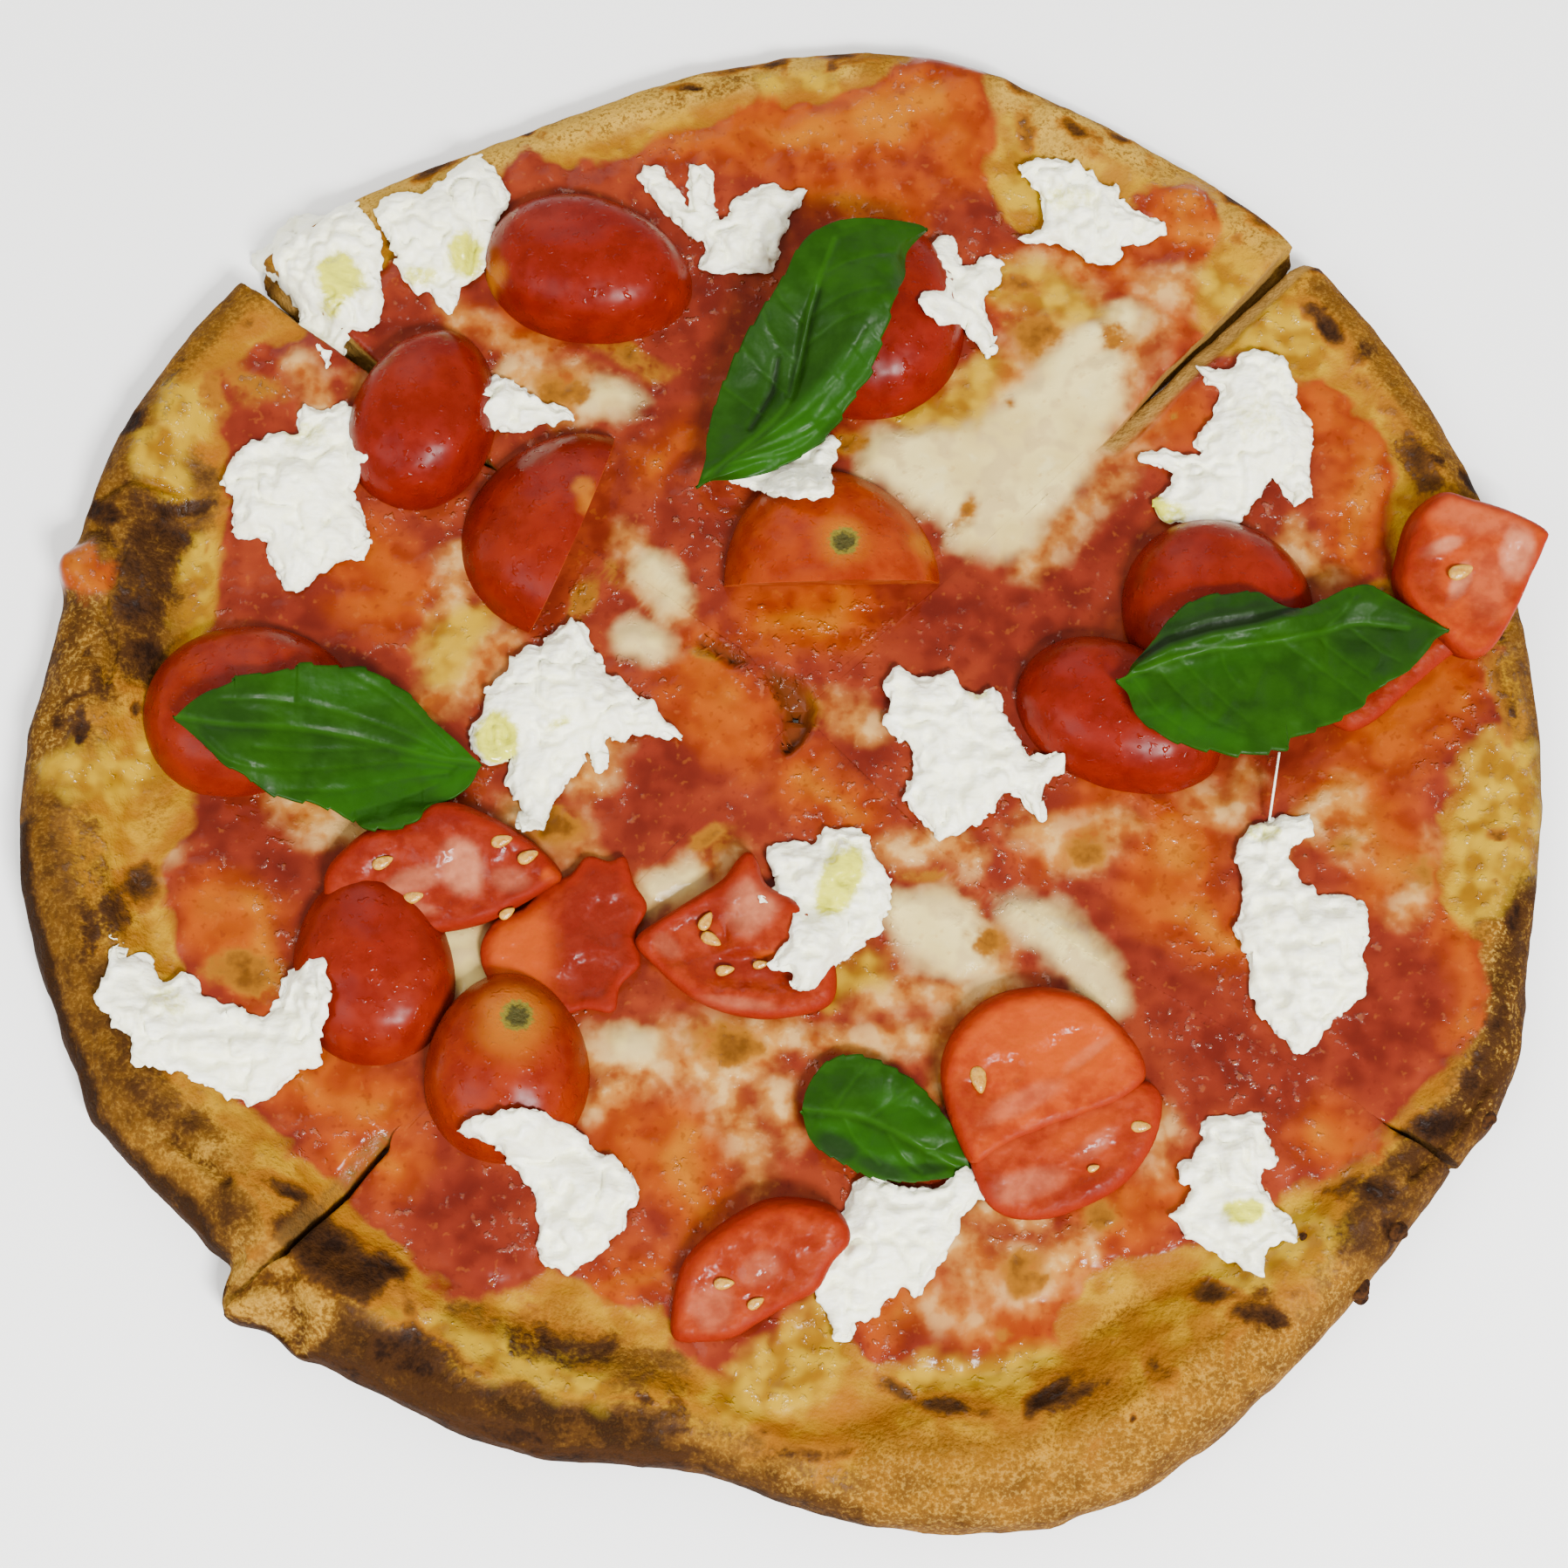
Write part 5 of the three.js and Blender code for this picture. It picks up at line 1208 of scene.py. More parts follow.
CUT_MESH = 0.55  # mm between the vertices of a cut piece
CUT_SUNK = 1.5  # how deep a cut piece sinks into what it lies on
SEED_SIZE = (1.9, 1.05, 0.7)  # half its length, width and height
SEED_INSET = 4.0  # a seed lies as high as the face does this far in from the edge


def make_cut_piece(material, seeds_material, row):
    outline = curve_through(row["outline"], 90, closed=True)
    piece = slab(f"tomato_cut_{row['node']}", outline, CUT_MESH)
    places = vertices_mm(piece)
    share = np.clip(places[:, 2] / SLAB_DEPTH, 0, 1)
    inside = np.maximum(inside_outline(places[:, :2], [tuple(p) for p in outline]), 0)
    middle = places[:, :2].mean(axis=0)
    bed = bed_ground.at(middle[None])[0]

    def face_height(flat, inside):
        shoulder = 1 - np.clip(inside / row["round"], 0, 1)
        rise = row["rise"] * (1 - 0.35 * (1 - np.sqrt(1 - shoulder**2)))
        return bed + rise + (flat - middle) @ np.array(row["tilt"])

    pockets = inside_ellipses(places, [(*p[:5], 1) for p in row["pockets"]], 301)
    depth = max([p[5] for p in row["pockets"]], default=0)
    top = face_height(places[:, :2], inside)
    top = top - depth * pockets + 0.35 * rough_noise(places, 3.5, 302) * ramp(inside, 0, 2)
    floor_height = bed - CUT_SUNK
    tuck = (1 - share) ** 2 * np.clip(1 - inside / 8, 0, 1)
    to_middle = middle - places[:, :2]
    places[:, :2] += 0.03 * tuck[:, None] * to_middle
    places[:, 2] = floor_height + share * (top - floor_height)
    slide_forwards(places, PLAN_LEVEL)
    set_vertices_mm(piece, places)
    up = ramp(share, 0.8, 0.97)
    paint(piece, "inside", np.where(up > 0.5, inside, 0))
    paint(piece, "skin", 1 - up)
    paint(piece, "warm", np.full(len(places), row["warm"]))
    for name in ("pale", "deep", "glow"):
        paint(piece, name, inside_ellipses(places, row[name], 303) * up)
    finish_piece(piece, material, [f"tomato_{row['node']}"])
    bpy.ops.object.shade_smooth_by_angle(angle=math.radians(60))
    for k, (x, y, turn, size) in enumerate(row["seeds"]):
        bpy.ops.mesh.primitive_uv_sphere_add(segments=20, ring_count=12, radius=1)
        seed = bpy.context.active_object
        seed.name = f"tomato_seed_{row['node']}_{k}"
        local = vertex_values(seed, "co")
        spot = np.array([[x, y]])
        level = face_height(spot, np.array([SEED_INSET]))[0] - 0.5 * depth
        local[:, 1] *= 1 - 0.35 * local[:, 0]
        local *= np.array(SEED_SIZE) * size
        placed = turned(local, turn)
        placed += (x, y - SLIDE * (level - PLAN_LEVEL), level + 0.2)
        set_vertices_mm(seed, placed)
        finish_piece(seed, seeds_material, [])


# ---- Torn mozzarella ---------------------------------------------------------------------------

MOZZARELLA = [
    [
        (-92, 102.5), (-86, 102), (-80, 104), (-76, 99), (-74, 95), (-74, 88), (-73, 83), (-75, 79),
        (-80, 76), (-81, 72), (-82, 70.5), (-85, 74), (-88, 79), (-90, 84), (-93, 88), (-99, 93),
        (-96, 96), (-93, 100),
    ],
    [
        (-75, 101), (-72, 105), (-66, 104.5), (-61, 110), (-57, 113.5), (-52, 107), (-50.5, 104),
        (-53, 97), (-56, 88), (-59, 86), (-60.5, 81), (-64, 85), (-68, 86), (-71, 92), (-74, 98),
    ],
    [
        (-27, 110.5), (-23, 109), (-20, 104), (-17, 102), (-18, 107), (-16, 111), (-13, 109), (-14, 104),
        (-12, 99.5), (-10, 101), (-9, 103), (-6, 106), (-2, 107), (1, 105), (4, 105.5), (2, 102), (0, 99),
        (-1, 94), (-3, 90), (-8, 89.5), (-15, 90.5), (-14, 94), (-17, 97), (-22, 101), (-26, 106),
    ],
    [
        (44, 110), (50, 112), (55, 110), (58, 106.5), (61, 106), (62, 103), (66, 101), (69.5, 99),
        (69, 96.5), (62, 95), (60.5, 91), (57, 91.5), (52, 94.5), (46, 95), (43, 95.5), (47.5, 98),
        (47.5, 104),
    ],
    [
        (28, 96), (31, 94), (33, 90), (37, 92), (39.5, 91), (38.5, 87), (37, 83), (38, 75), (37, 72.5),
        (34, 78), (32, 79), (29, 78), (25, 80), (26, 83), (29, 85), (28, 89), (26, 92),
    ],
    [
        (-87, 62.5), (-82, 62), (-78.5, 63), (-77, 58), (-76, 54), (-74, 52.5), (-77, 49), (-77, 44),
        (-74.5, 40), (-75, 34), (-79, 33), (-84, 29), (-87, 27.5), (-91, 31), (-93, 37), (-98, 38.5),
        (-98, 45), (-100, 49), (-96, 54), (-90, 57), (-87, 58),
    ],
    [
        (-56, 64), (-53, 68), (-49, 68), (-46, 65), (-42, 63), (-38.5, 61.5), (-43, 59.5), (-48, 58),
        (-53, 59),
    ],
    [
        (-10, 49.5), (-4, 51), (2, 54), (8, 57), (9.5, 53), (8, 50), (8, 44.5), (4, 44), (-2, 45),
        (-4, 47), (-7, 47.6),
    ],
    [
        (-42, 19.5), (-40, 21), (-36, 21.5), (-34, 17), (-31, 13), (-29, 10.5), (-26, 9), (-26, 6.5),
        (-23, 7.5), (-22, 4), (-17, 0.3), (-21, 0.6), (-26, 1.5), (-28, -0.3), (-31, 1), (-31, -5.8),
        (-33.5, -4.5), (-35, 0), (-36, -5), (-40, -11), (-42, -16), (-46, -16.5), (-45, -13), (-48, -10),
        (-48, -6), (-47, -2), (-50, -4), (-53, -3), (-55, 2), (-53, 4), (-52, 9), (-49, 12), (-46, 16.5),
        (-43, 17),
    ],
    [
        (20, 12.5), (25, 11.5), (30, 12), (31, 9.5), (35, 8), (37.5, 9), (38, 4), (42, -2), (43, -5),
        (47.5, -2.5), (48, -5), (45, -9), (45.5, -15), (42, -11.5), (39, -10.5), (34, -15), (30, -17),
        (27, -18), (25, -16), (22, -12), (21, -10), (23, -6), (22, -1), (18, 3), (19, 6), (17.5, 10),
    ],
    [
        (75, 70.5), (80, 69.5), (83, 72), (87, 73), (91, 70), (92.5, 64), (94.5, 57), (93.5, 52),
        (94.5, 46), (91.5, 43.5), (90, 46), (88, 50), (85, 46), (81, 40.5), (76, 41), (70, 40.5),
        (66.5, 43), (70, 49), (64, 53), (68, 54), (76, 53), (74, 56), (77, 60), (79, 66), (76, 68),
    ],
    [
        (80, -17), (84, -14.5), (90, -14), (91, -17), (87, -19), (88, -24), (91, -28), (97, -28.5),
        (99.5, -33), (98, -39), (99, -43), (96, -47), (91, -53), (86.5, -55.5), (84, -52), (80, -47),
        (79.5, -40), (77, -35), (79, -30), (79, -22),
    ],
    [
        (-114, -34.5), (-112, -39), (-109, -38.5), (-106, -43), (-101.5, -42), (-99, -46), (-94, -47.5),
        (-88, -50), (-86, -48), (-84, -42), (-80, -39), (-77, -41), (-76.5, -47), (-78, -53), (-79, -57),
        (-85, -61), (-89, -64.5), (-95, -61.5), (-101, -58), (-108, -56), (-109, -53), (-114, -48),
        (-115, -43), (-113, -40),
    ],
    [
        (5, -19), (9, -15.5), (14, -17), (15.5, -21), (18, -25), (18, -32), (14, -37), (10, -40),
        (6, -43), (2, -45), (1, -41), (-2, -40), (1, -36), (2, -31), (1, -28.2), (-4.5, -28.8), (-1, -26),
        (-2, -23), (-2, -19), (2, -18.5),
    ],
    [
        (-54.5, -67.5), (-48, -65), (-41, -64), (-38, -67), (-35, -68), (-31, -73), (-28, -74),
        (-24.5, -78), (-23.5, -80), (-26, -82), (-27, -86), (-32, -89.5), (-37.5, -92), (-41, -87.5),
        (-41, -80), (-44, -76), (-48, -70),
    ],
    [
        (12, -77), (16, -76.5), (20, -79), (26, -78), (29, -76), (31.5, -76), (32.5, -79), (30, -83),
        (28, -88), (25, -92), (22, -96), (18, -95), (14, -100), (11, -100), (10, -103.5), (8, -101),
        (7, -96), (4.5, -92), (6, -89), (8, -84), (10, -83),
    ],
    [
        (72, -66.5), (79, -66.5), (81, -69), (82, -73), (79, -75), (80, -79), (82, -82), (85, -85.5),
        (80, -88), (79, -92), (76, -91.5), (70, -88), (66, -85), (65, -83), (68, -79), (68, -77),
        (65.5, -75), (70, -73), (70, -68),
    ],
]
# Olive oil that has run onto the cheese: x, y, length, width, turn, strength.
OIL_ON_CHEESE = [
    (-80.5, 87, 8, 9, 20, 0.9), (-82, 82, 5, 5, 0, 0.6), (-58, 92, 6, 9, 0, 0.8), (-66, 88, 7, 4, 0, 0.5),
    (-50, 0, 7, 9, 0, 1), (-39, 3, 5, 2, 30, 0.4), (9.5, -25, 7, 12, -20, 1), (66, 43, 6, 5, 0, 0.8),
    (76, -81.5, 7, 4, 0, 0.8), (68, 42, 8, 5, 0, 0.5), (-86, 57, 8, 5, 0, 0.3), (84, 60, 8, 8, 0, 0.2),
    (83, -17, 6, 3, 0, 0.4), (-104, -46, 8, 4, -30, 0.3), (52, 104, 10, 5, 0, 0.3), (34, 8, 4, 2, 0, 0.4),
]
MOZZARELLA_PLAN_LEVEL = 6
CHEESE_MESH = 0.45  # mm between the vertices of a lump
# How much higher a lump lies that leans on its neighbours, by its number.
MOZZARELLA_LIFT = {8: 1.6}

MOZZARELLA_COLORS = (0.90, 0.89, 0.66), (0.97, 0.97, 0.80)
OILY_MOZZARELLA_COLOR = (0.56, 0.55, 0.03)


def mozzarella_material():
    s = Shader("fresh_mozzarella")
    soft = s.rise(s.grain(3, 4), 0.3, 0.75)
    white = s.mix(soft, *MOZZARELLA_COLORS)
    stain = s.maths("ADD", s.field("oil"), s.rise(s.grain(1.2), 0.3, 0.7, -0.15, 0.15))
    color = s.mix(s.rise(stain, 0.0, 0.75), white, OILY_MOZZARELLA_COLOR)
    roughness = s.blend(s.rise(stain, 0.2, 0.6), s.rise(soft, 0, 1, 0.5, 0.32), 0.08)
    normal = s.bump(s.grain(2.6, 2, 0.45, (1, 2.0, 1)), 0.45)
    normal = s.bump(s.grain(0.45, 3, 0.6), 0.05, normal)
    s.surface.inputs["Subsurface Radius"].default_value = (1.0, 0.9, 0.7)
    return s.finish(
        color, roughness, normal, Subsurface_Weight=0.25, Subsurface_Scale=2 * MM, Specular_IOR_Level=0.3
    )


def make_mozzarella(material):
    for number, outline in enumerate(MOZZARELLA, 1):
        edge = curve_through(outline, 5 * len(outline), closed=True)
        piece = slab(f"torn_cheese_{number}", edge, CHEESE_MESH)
        places = vertices_mm(piece)
        share = np.clip(places[:, 2] / SLAB_DEPTH, 0, 1)
        inside = np.maximum(inside_outline(places[:, :2], [tuple(p) for p in edge]), 0)
        near_edge = 1 - ramp(inside, 0.5, 3)
        for k in range(2):
            ragged = 1.7 * rough_noise(places, 1.8, 401 + k, 3) + 0.6 * noise(places, 5, 411 + k)
            places[:, k] += near_edge * ragged
        lumps = rough_noise(places, 8, 421 + number, 2)
        curds = 0.5 - np.abs(rough_noise(places + 0.8 * lumps[:, None], 4.2, 441 + number, 2))
        nubs = 0.4 - np.abs(rough_noise(places, 2.0, 461 + number, 2))
        thick = 1.2 + 5.2 * (1 - np.exp(-inside / 3.0))
        thick += 2.0 * lumps * ramp(inside, 0.5, 4)
        thick -= 2.2 * ramp(curds, 0.25, 0.5) * ramp(inside, 0.5, 2.5)
        thick -= 0.5 * ramp(nubs, 0.2, 0.4) * ramp(inside, 0, 1.5)
        base = top_ground.at(places[:, :2])
        lift = 0.5 * ramp(near_edge, 0.3, 1) + MOZZARELLA_LIFT.get(number, 0)
        tuck = (1 - share) ** 2 * near_edge
        places[:, 2] = base + lift + share * np.maximum(thick, 0.7) - 0.3
        places[:, :2] += 0.10 * tuck[:, None] * (places[:, :2].mean(axis=0) - places[:, :2])
        stain = places.copy()
        slide_forwards(places, MOZZARELLA_PLAN_LEVEL)
        set_vertices_mm(piece, places)
        paint(piece, "oil", inside_ellipses(stain, OIL_ON_CHEESE, 451) * ramp(share, 0.4, 0.9))
        apply_modifier(piece, "soften", "SMOOTH", factor=0.5, iterations=1)
        finish_piece(piece, material, [f"mozzarella_{number}"])


# Burnt crumbs that cling to the rim: x, y, size.
BURNT_CRUMBS = [
    (94.8, -95.6, 2.0), (95.8, -96.8, 1.4), (117.6, -67.8, 1.7), (101.2, -86.4, 2.0), (85.5, -88, 0.7),
]

BURNT_COLORS = (0.010, 0.004, 0.002), (0.045, 0.016, 0.004)


def burnt_material():
    s = Shader("burnt_crumb")
    color = s.mix(s.rise(s.grain(0.8), 0.3, 0.7), *BURNT_COLORS)
    return s.finish(color, 0.8, s.bump(s.grain(0.6), 0.2), Specular_IOR_Level=0.05)


def make_crumbs():
    material = burnt_material()
    for number, (x, y, size) in enumerate(BURNT_CRUMBS, 1):
        bpy.ops.mesh.primitive_ico_sphere_add(subdivisions=4, radius=size * MM, location=(0, 0, 0))
        piece = bpy.context.active_object
        piece.name = f"burnt_crumb_{number}"
        places = vertices_mm(piece)
        places *= 1 + 0.35 * rough_noise(places + 10 * number, 1.6, 601, 2)[:, None]
        places[:, 2] *= 0.6
        spot = np.array([[x, y]])
        places += (x, y, max(top_ground.at(spot)[0], 2.5) + 0.25 * size)
        set_vertices_mm(piece, places)
        finish_piece(piece, material, [])


# A thread of cheese drawn out to the leaf above it: x, y, z at each of its ends, in mm, and its thickness.
CHEESE_THREAD = ((84.0, -15.5, 8.5), (85.5, -4.5, 13.0), 0.2)


def make_thread(material):
    start, end, thick = CHEESE_THREAD
    start, end = Vector(start), Vector(end)
    way = end - start
    bpy.ops.mesh.primitive_cylinder_add(
        vertices=12, radius=thick * MM, depth=way.length * MM, location=(0, 0, 0)
    )
    piece = bpy.context.active_object
    piece.name = "cheese_thread"
    piece.rotation_euler = way.to_track_quat("Z", "Y").to_euler()
    piece.location = (start + end) / 2 * MM
    bpy.ops.object.transform_apply(location=True, rotation=True, scale=True)
    finish_piece(piece, material, [])


# ---- Basil -------------------------------------------------------------------------------------

# left, middle and right run from one end of a leaf to the other, and the midrib is the first of its veins.
# A leaf with a ridge stands up along it and droops beyond it, on the left where ridge_side is -1 and on the
# right where it is 1. folds are strokes that are pressed in and painted darkest, as painted shade in them,
# and pucker is how far the leaf rises between its veins. dark and bright are ellipses: x, y, length, width,
# turn and strength; dark paints shade as well as the leaf's darker parts, and bright paints light as well as
# paler green.
LEAVES = [
    {
        "node": 1, "ridge_side": 1,
        "left": [
            (-15.5, 45.5), (-14, 51), (-13.8, 55), (-12.5, 61), (-10, 68), (-7, 74), (-2.5, 81), (0, 85),
            (3, 91), (7, 94.5), (12, 96.3), (18, 96.5), (24, 96), (26, 95),
        ],
        "middle": [
            (-15.5, 45.5), (-10, 50), (-4, 56), (1, 62), (3, 70), (5, 80), (8, 90), (14, 94), (26, 95),
        ],
        "right": [
            (-15.5, 45.5), (-13, 47), (-9, 47.2), (-4, 48.3), (0, 50), (3.5, 52), (7, 54.5), (8.5, 56.5),
            (10, 58.5), (11.5, 61), (13.5, 64), (15, 66), (16.3, 69.5), (18.5, 76), (19.5, 80),
            (21.5, 85), (22, 90), (24, 93), (26, 95),
        ],
        "veins": [
            [(9, 92), (5, 80), (3, 70), (1, 62), (-4, 56), (-14, 47.5)], [(4, 76), (0, 80), (-2, 84)],
            [(2.5, 69), (-2, 74), (-4, 79)], [(1, 63), (-5, 69), (-8, 73)],
            [(6.5, 85), (12, 88), (20, 90)], [(4.5, 77), (10, 81), (17, 83)],
            [(3.5, 72), (9, 76), (14, 78)], [(-2, 58), (-7, 62), (-11, 65)],
            [(-8, 52), (2, 58.5), (10, 66.5), (15, 74)], [(-9, 51), (4, 56.5), (12, 64), (16, 70)],
            [(-10, 50), (2, 53), (8, 58)],
        ],
        "ridge": [(17, 80), (14, 75), (9, 68), (2, 61), (-6, 54), (-12, 49)],
        "folds": [
            [(1, 63, 0.4), (2.5, 68, 0.8), (4.2, 76, 0.8), (6, 82, 0.4)],
            [(-6, 57, 0.3), (-2, 64, 0.6), (-1, 70, 0.3)],
        ],
        "dark": [(2, 72, 22, 30, 70, 0.35), (-8, 62, 8, 20, -20, 0.3)],
        "bright": [(6, 60, 34, 7, 48, 0.9), (-3, 51, 16, 4, 18, 0.9)],
    },
    {
        "node": 2, "lift": 1.4,
        "left": [
            (-104.3, 2.7), (-100, 6.5), (-94.3, 9.2), (-93.8, 10.3), (-89, 10.8), (-84, 11.8),
            (-83.3, 12.7), (-78, 12.2), (-73, 12), (-69, 9.8), (-65, 7), (-61, 2.5), (-57, -1),
            (-52.5, -5.5),
        ],
        "middle": [(-104.3, 2.7), (-95, 1.5), (-84, 1), (-73, -1), (-62, -4), (-52.5, -5.5)],
        "right": [
            (-104.3, 2.7), (-101, 0), (-97.5, -3), (-95, -5.5), (-91.5, -7.5), (-90, -9), (-86.5, -11.3),
            (-82, -12.2), (-79, -13), (-74, -15.5), (-72, -16.7), (-67, -17.2), (-62.5, -15.5),
            (-61, -13), (-57, -11.5), (-54, -9), (-52.5, -5.5),
        ],
        "veins": [
            [(-104, 3), (-95, 1.5), (-84, 1), (-73, -1), (-62, -4), (-53, -5.5)],
            [(-56, -5), (-66, 0), (-74, 3), (-83, 6)], [(-57, -4), (-64, 3), (-70, 8), (-75, 11)],
            [(-57, -6), (-66, -5), (-76, -6), (-86, -6.5), (-94, -5), (-99, -1)],
            [(-58, -7), (-66, -8), (-75, -10), (-85, -10)], [(-60, -9), (-67, -12), (-75, -14)],
            [(-76, 4), (-88, 6), (-96, 6)], [(-62, -3), (-70, -2.5), (-80, -3), (-90, -2.5)],
        ],
        "dark": [(-95, 3, 14, 12, 0, 0.35), (-74, -2, 20, 8, 0, 0.2)],
        "bright": [(-58, -5, 14, 12, -30, 0.9), (-70, -11, 20, 9, 10, 0.5), (-76, 8, 20, 6, 0, 0.3)],
    },
    {
        "node": 3, "pucker": 1.7, "ridge_side": -1,
        "left": [
            (57, 9.5), (59, 10.5), (60, 12.5), (63, 16), (66, 20), (69, 23), (73, 24.8), (78, 25.2),
            (81.5, 25.5), (84, 24), (88, 22.5), (92, 23.5), (96, 25.5), (100, 27), (103, 26.5), (107, 24),
            (111, 21.5), (114, 19.5), (115, 18.5),
        ],
        "middle": [(57, 9.5), (66, 13), (74, 15), (84, 16.5), (92, 18), (104, 18.5), (115, 18.5)],
        "right": [
            (57, 9.5), (59, 7), (60, 3.5), (63, 0.5), (67, -1.8), (72, -3.2), (77, -4), (82, -3.4),
            (85.3, -3), (85.7, -1.5), (89, 0), (94, 2), (99, 4.8), (100.5, 7), (105, 9.8), (108, 11.7),
            (111, 15), (112.5, 17), (115, 18.5),
        ],
        "folds": [[(61, 13.5, 0.5), (66, 16.8, 0.9), (73, 19, 1.0), (81, 20.5, 1.0), (88.5, 22.6, 0.6)]],
        "veins": [
            [(58, 9.5), (66, 13), (74, 15), (84, 16.5), (92, 18), (100, 20), (108, 19)],
            [(64, 12.5), (67, 8), (72, 3), (78, 0)], [(68, 13.5), (72, 9), (77, 4), (79, 2)],
            [(75, 15), (76, 11), (78, 8)], [(85, 17), (92, 12), (97, 8), (100, 5)],
            [(92, 18), (97, 13), (101, 10)], [(98, 19.5), (103, 15), (106, 13)],
            [(93, 18.5), (97, 22), (99, 25)], [(60, 10), (64, 4), (70, -0.5)],
        ],
        "ridge": [(61, 14), (66, 16), (72, 18), (80, 19.5), (86, 21.5), (88.5, 23)],
        "dark": [(76, 20.5, 26, 4, 13, 1), (78, 24, 16, 3, 0, 0.3), (103, 18, 18, 12, -20, 0.45)],
        "bright": [(70, 1, 16, 5, -20, 0.6), (75, 12, 16, 4, 15, 0.3), (60, 9, 6, 4, 0, 0.7)],
    },
    {
        "node": 4, "pucker": 1.7,
        "left": [
            (3, -66), (4, -62), (7, -58), (11, -56.5), (15, -57.2), (19, -59), (23, -62), (27, -67),
            (29.5, -71), (31.5, -77),
        ],
        "middle": [(3, -66), (12, -67), (20, -70.5), (31.5, -77)],
        "right": [
            (3, -66), (4, -70), (6, -72.5), (10, -75), (14, -77), (20, -78), (25, -77.8), (31.5, -77),
        ],
        "veins": [
            [(3, -66), (12, -67), (20, -70.5), (31, -77)], [(8, -66.5), (11, -62), (14, -58.5)],
            [(14, -67.5), (19, -64), (22, -62)], [(10, -67), (12, -71), (16, -75)],
            [(17, -69), (20, -74), (23, -76.5)],
        ],
        "dark": [
            (9, -72, 8, 4, -30, 1), (16, -75.5, 10, 3, -20, 0.9), (24, -76, 6, 2, 0, 0.8),
            (12, -62, 8, 4, 0, 0.25),
        ],
        "bright": [(14, -72, 20, 5, -25, 0.6), (20, -66, 12, 5, -30, 0.4)],
    },
]

BLADE_COLORS = (0.006, 0.028, 0.0006), (0.0095, 0.042, 0.0008)
BRIGHT_BLADE_AND_LIGHT_COLOR = (0.009, 0.054, 0.0004)
DARK_BLADE_AND_SHADE_COLOR = (0.006, 0.016, 0.003)
FOLD_SHADE_COLOR = (0.002, 0.006, 0.0006)
VEIN_COLOR = (0.018, 0.08, 0.002)


def basil_material():
    s = Shader("basil_leaf")
    patchy = s.rise(s.grain(6, 3), 0.3, 0.7)
    blade = s.mix(patchy, *BLADE_COLORS)
    # Painted light and shade: bright paints the leaf lighter where light falls on it as well as its paler
    # green, dark paints shade as well as its darker parts, and folds get the darkest painted shade.
    blade = s.mix(s.field("bright"), blade, BRIGHT_BLADE_AND_LIGHT_COLOR)
    blade = s.mix(s.maths("MULTIPLY", s.field("dark"), 0.85), blade, DARK_BLADE_AND_SHADE_COLOR)
    blade = s.mix(s.rise(s.field("dark"), 1.0, 1.4, 0, 0.8), blade, FOLD_SHADE_COLOR)
    blade = s.mix(s.rise(s.field("vein"), 0.2, 1.0, 0, 0.3), blade, VEIN_COLOR)
    roughness = s.rise(s.grain(3, 2), 0.3, 0.7, 0.32, 0.5)
    normal = s.bump(s.grain(2.5, 2, 0.5), 0.2)
    return s.finish(blade, roughness, normal, Specular_IOR_Level=0.06)


LEAF_STATIONS = 150  # rows of vertices from one end of a leaf to the other
LEAF_ACROSS = 30  # vertices on either side of its middle
LEAF_SMOOTHING = 60
LEAF_THICKNESS = 0.5
LEAF_TEETH = 14
LEAF_LEVEL = 7  # how far over the plan level a leaf usually lies
NEAR_HEIGHT = 15  # where the solid leaf is looked for, if it isn't straight below
MIDRIB = (0.75, 1.0)  # half width and depth
SIDE_VEIN = (0.55, 0.6)


def vein_depth(flat, veins):
    depth = np.zeros(len(flat))
    for number, vein in enumerate(veins):
        path = curve_through(vein, 24)
        away = path_distance(flat, path)
        width, strength = SIDE_VEIN if number else MIDRIB
        depth = np.maximum(depth, strength * np.exp(-((away / width) ** 2)))
    return depth


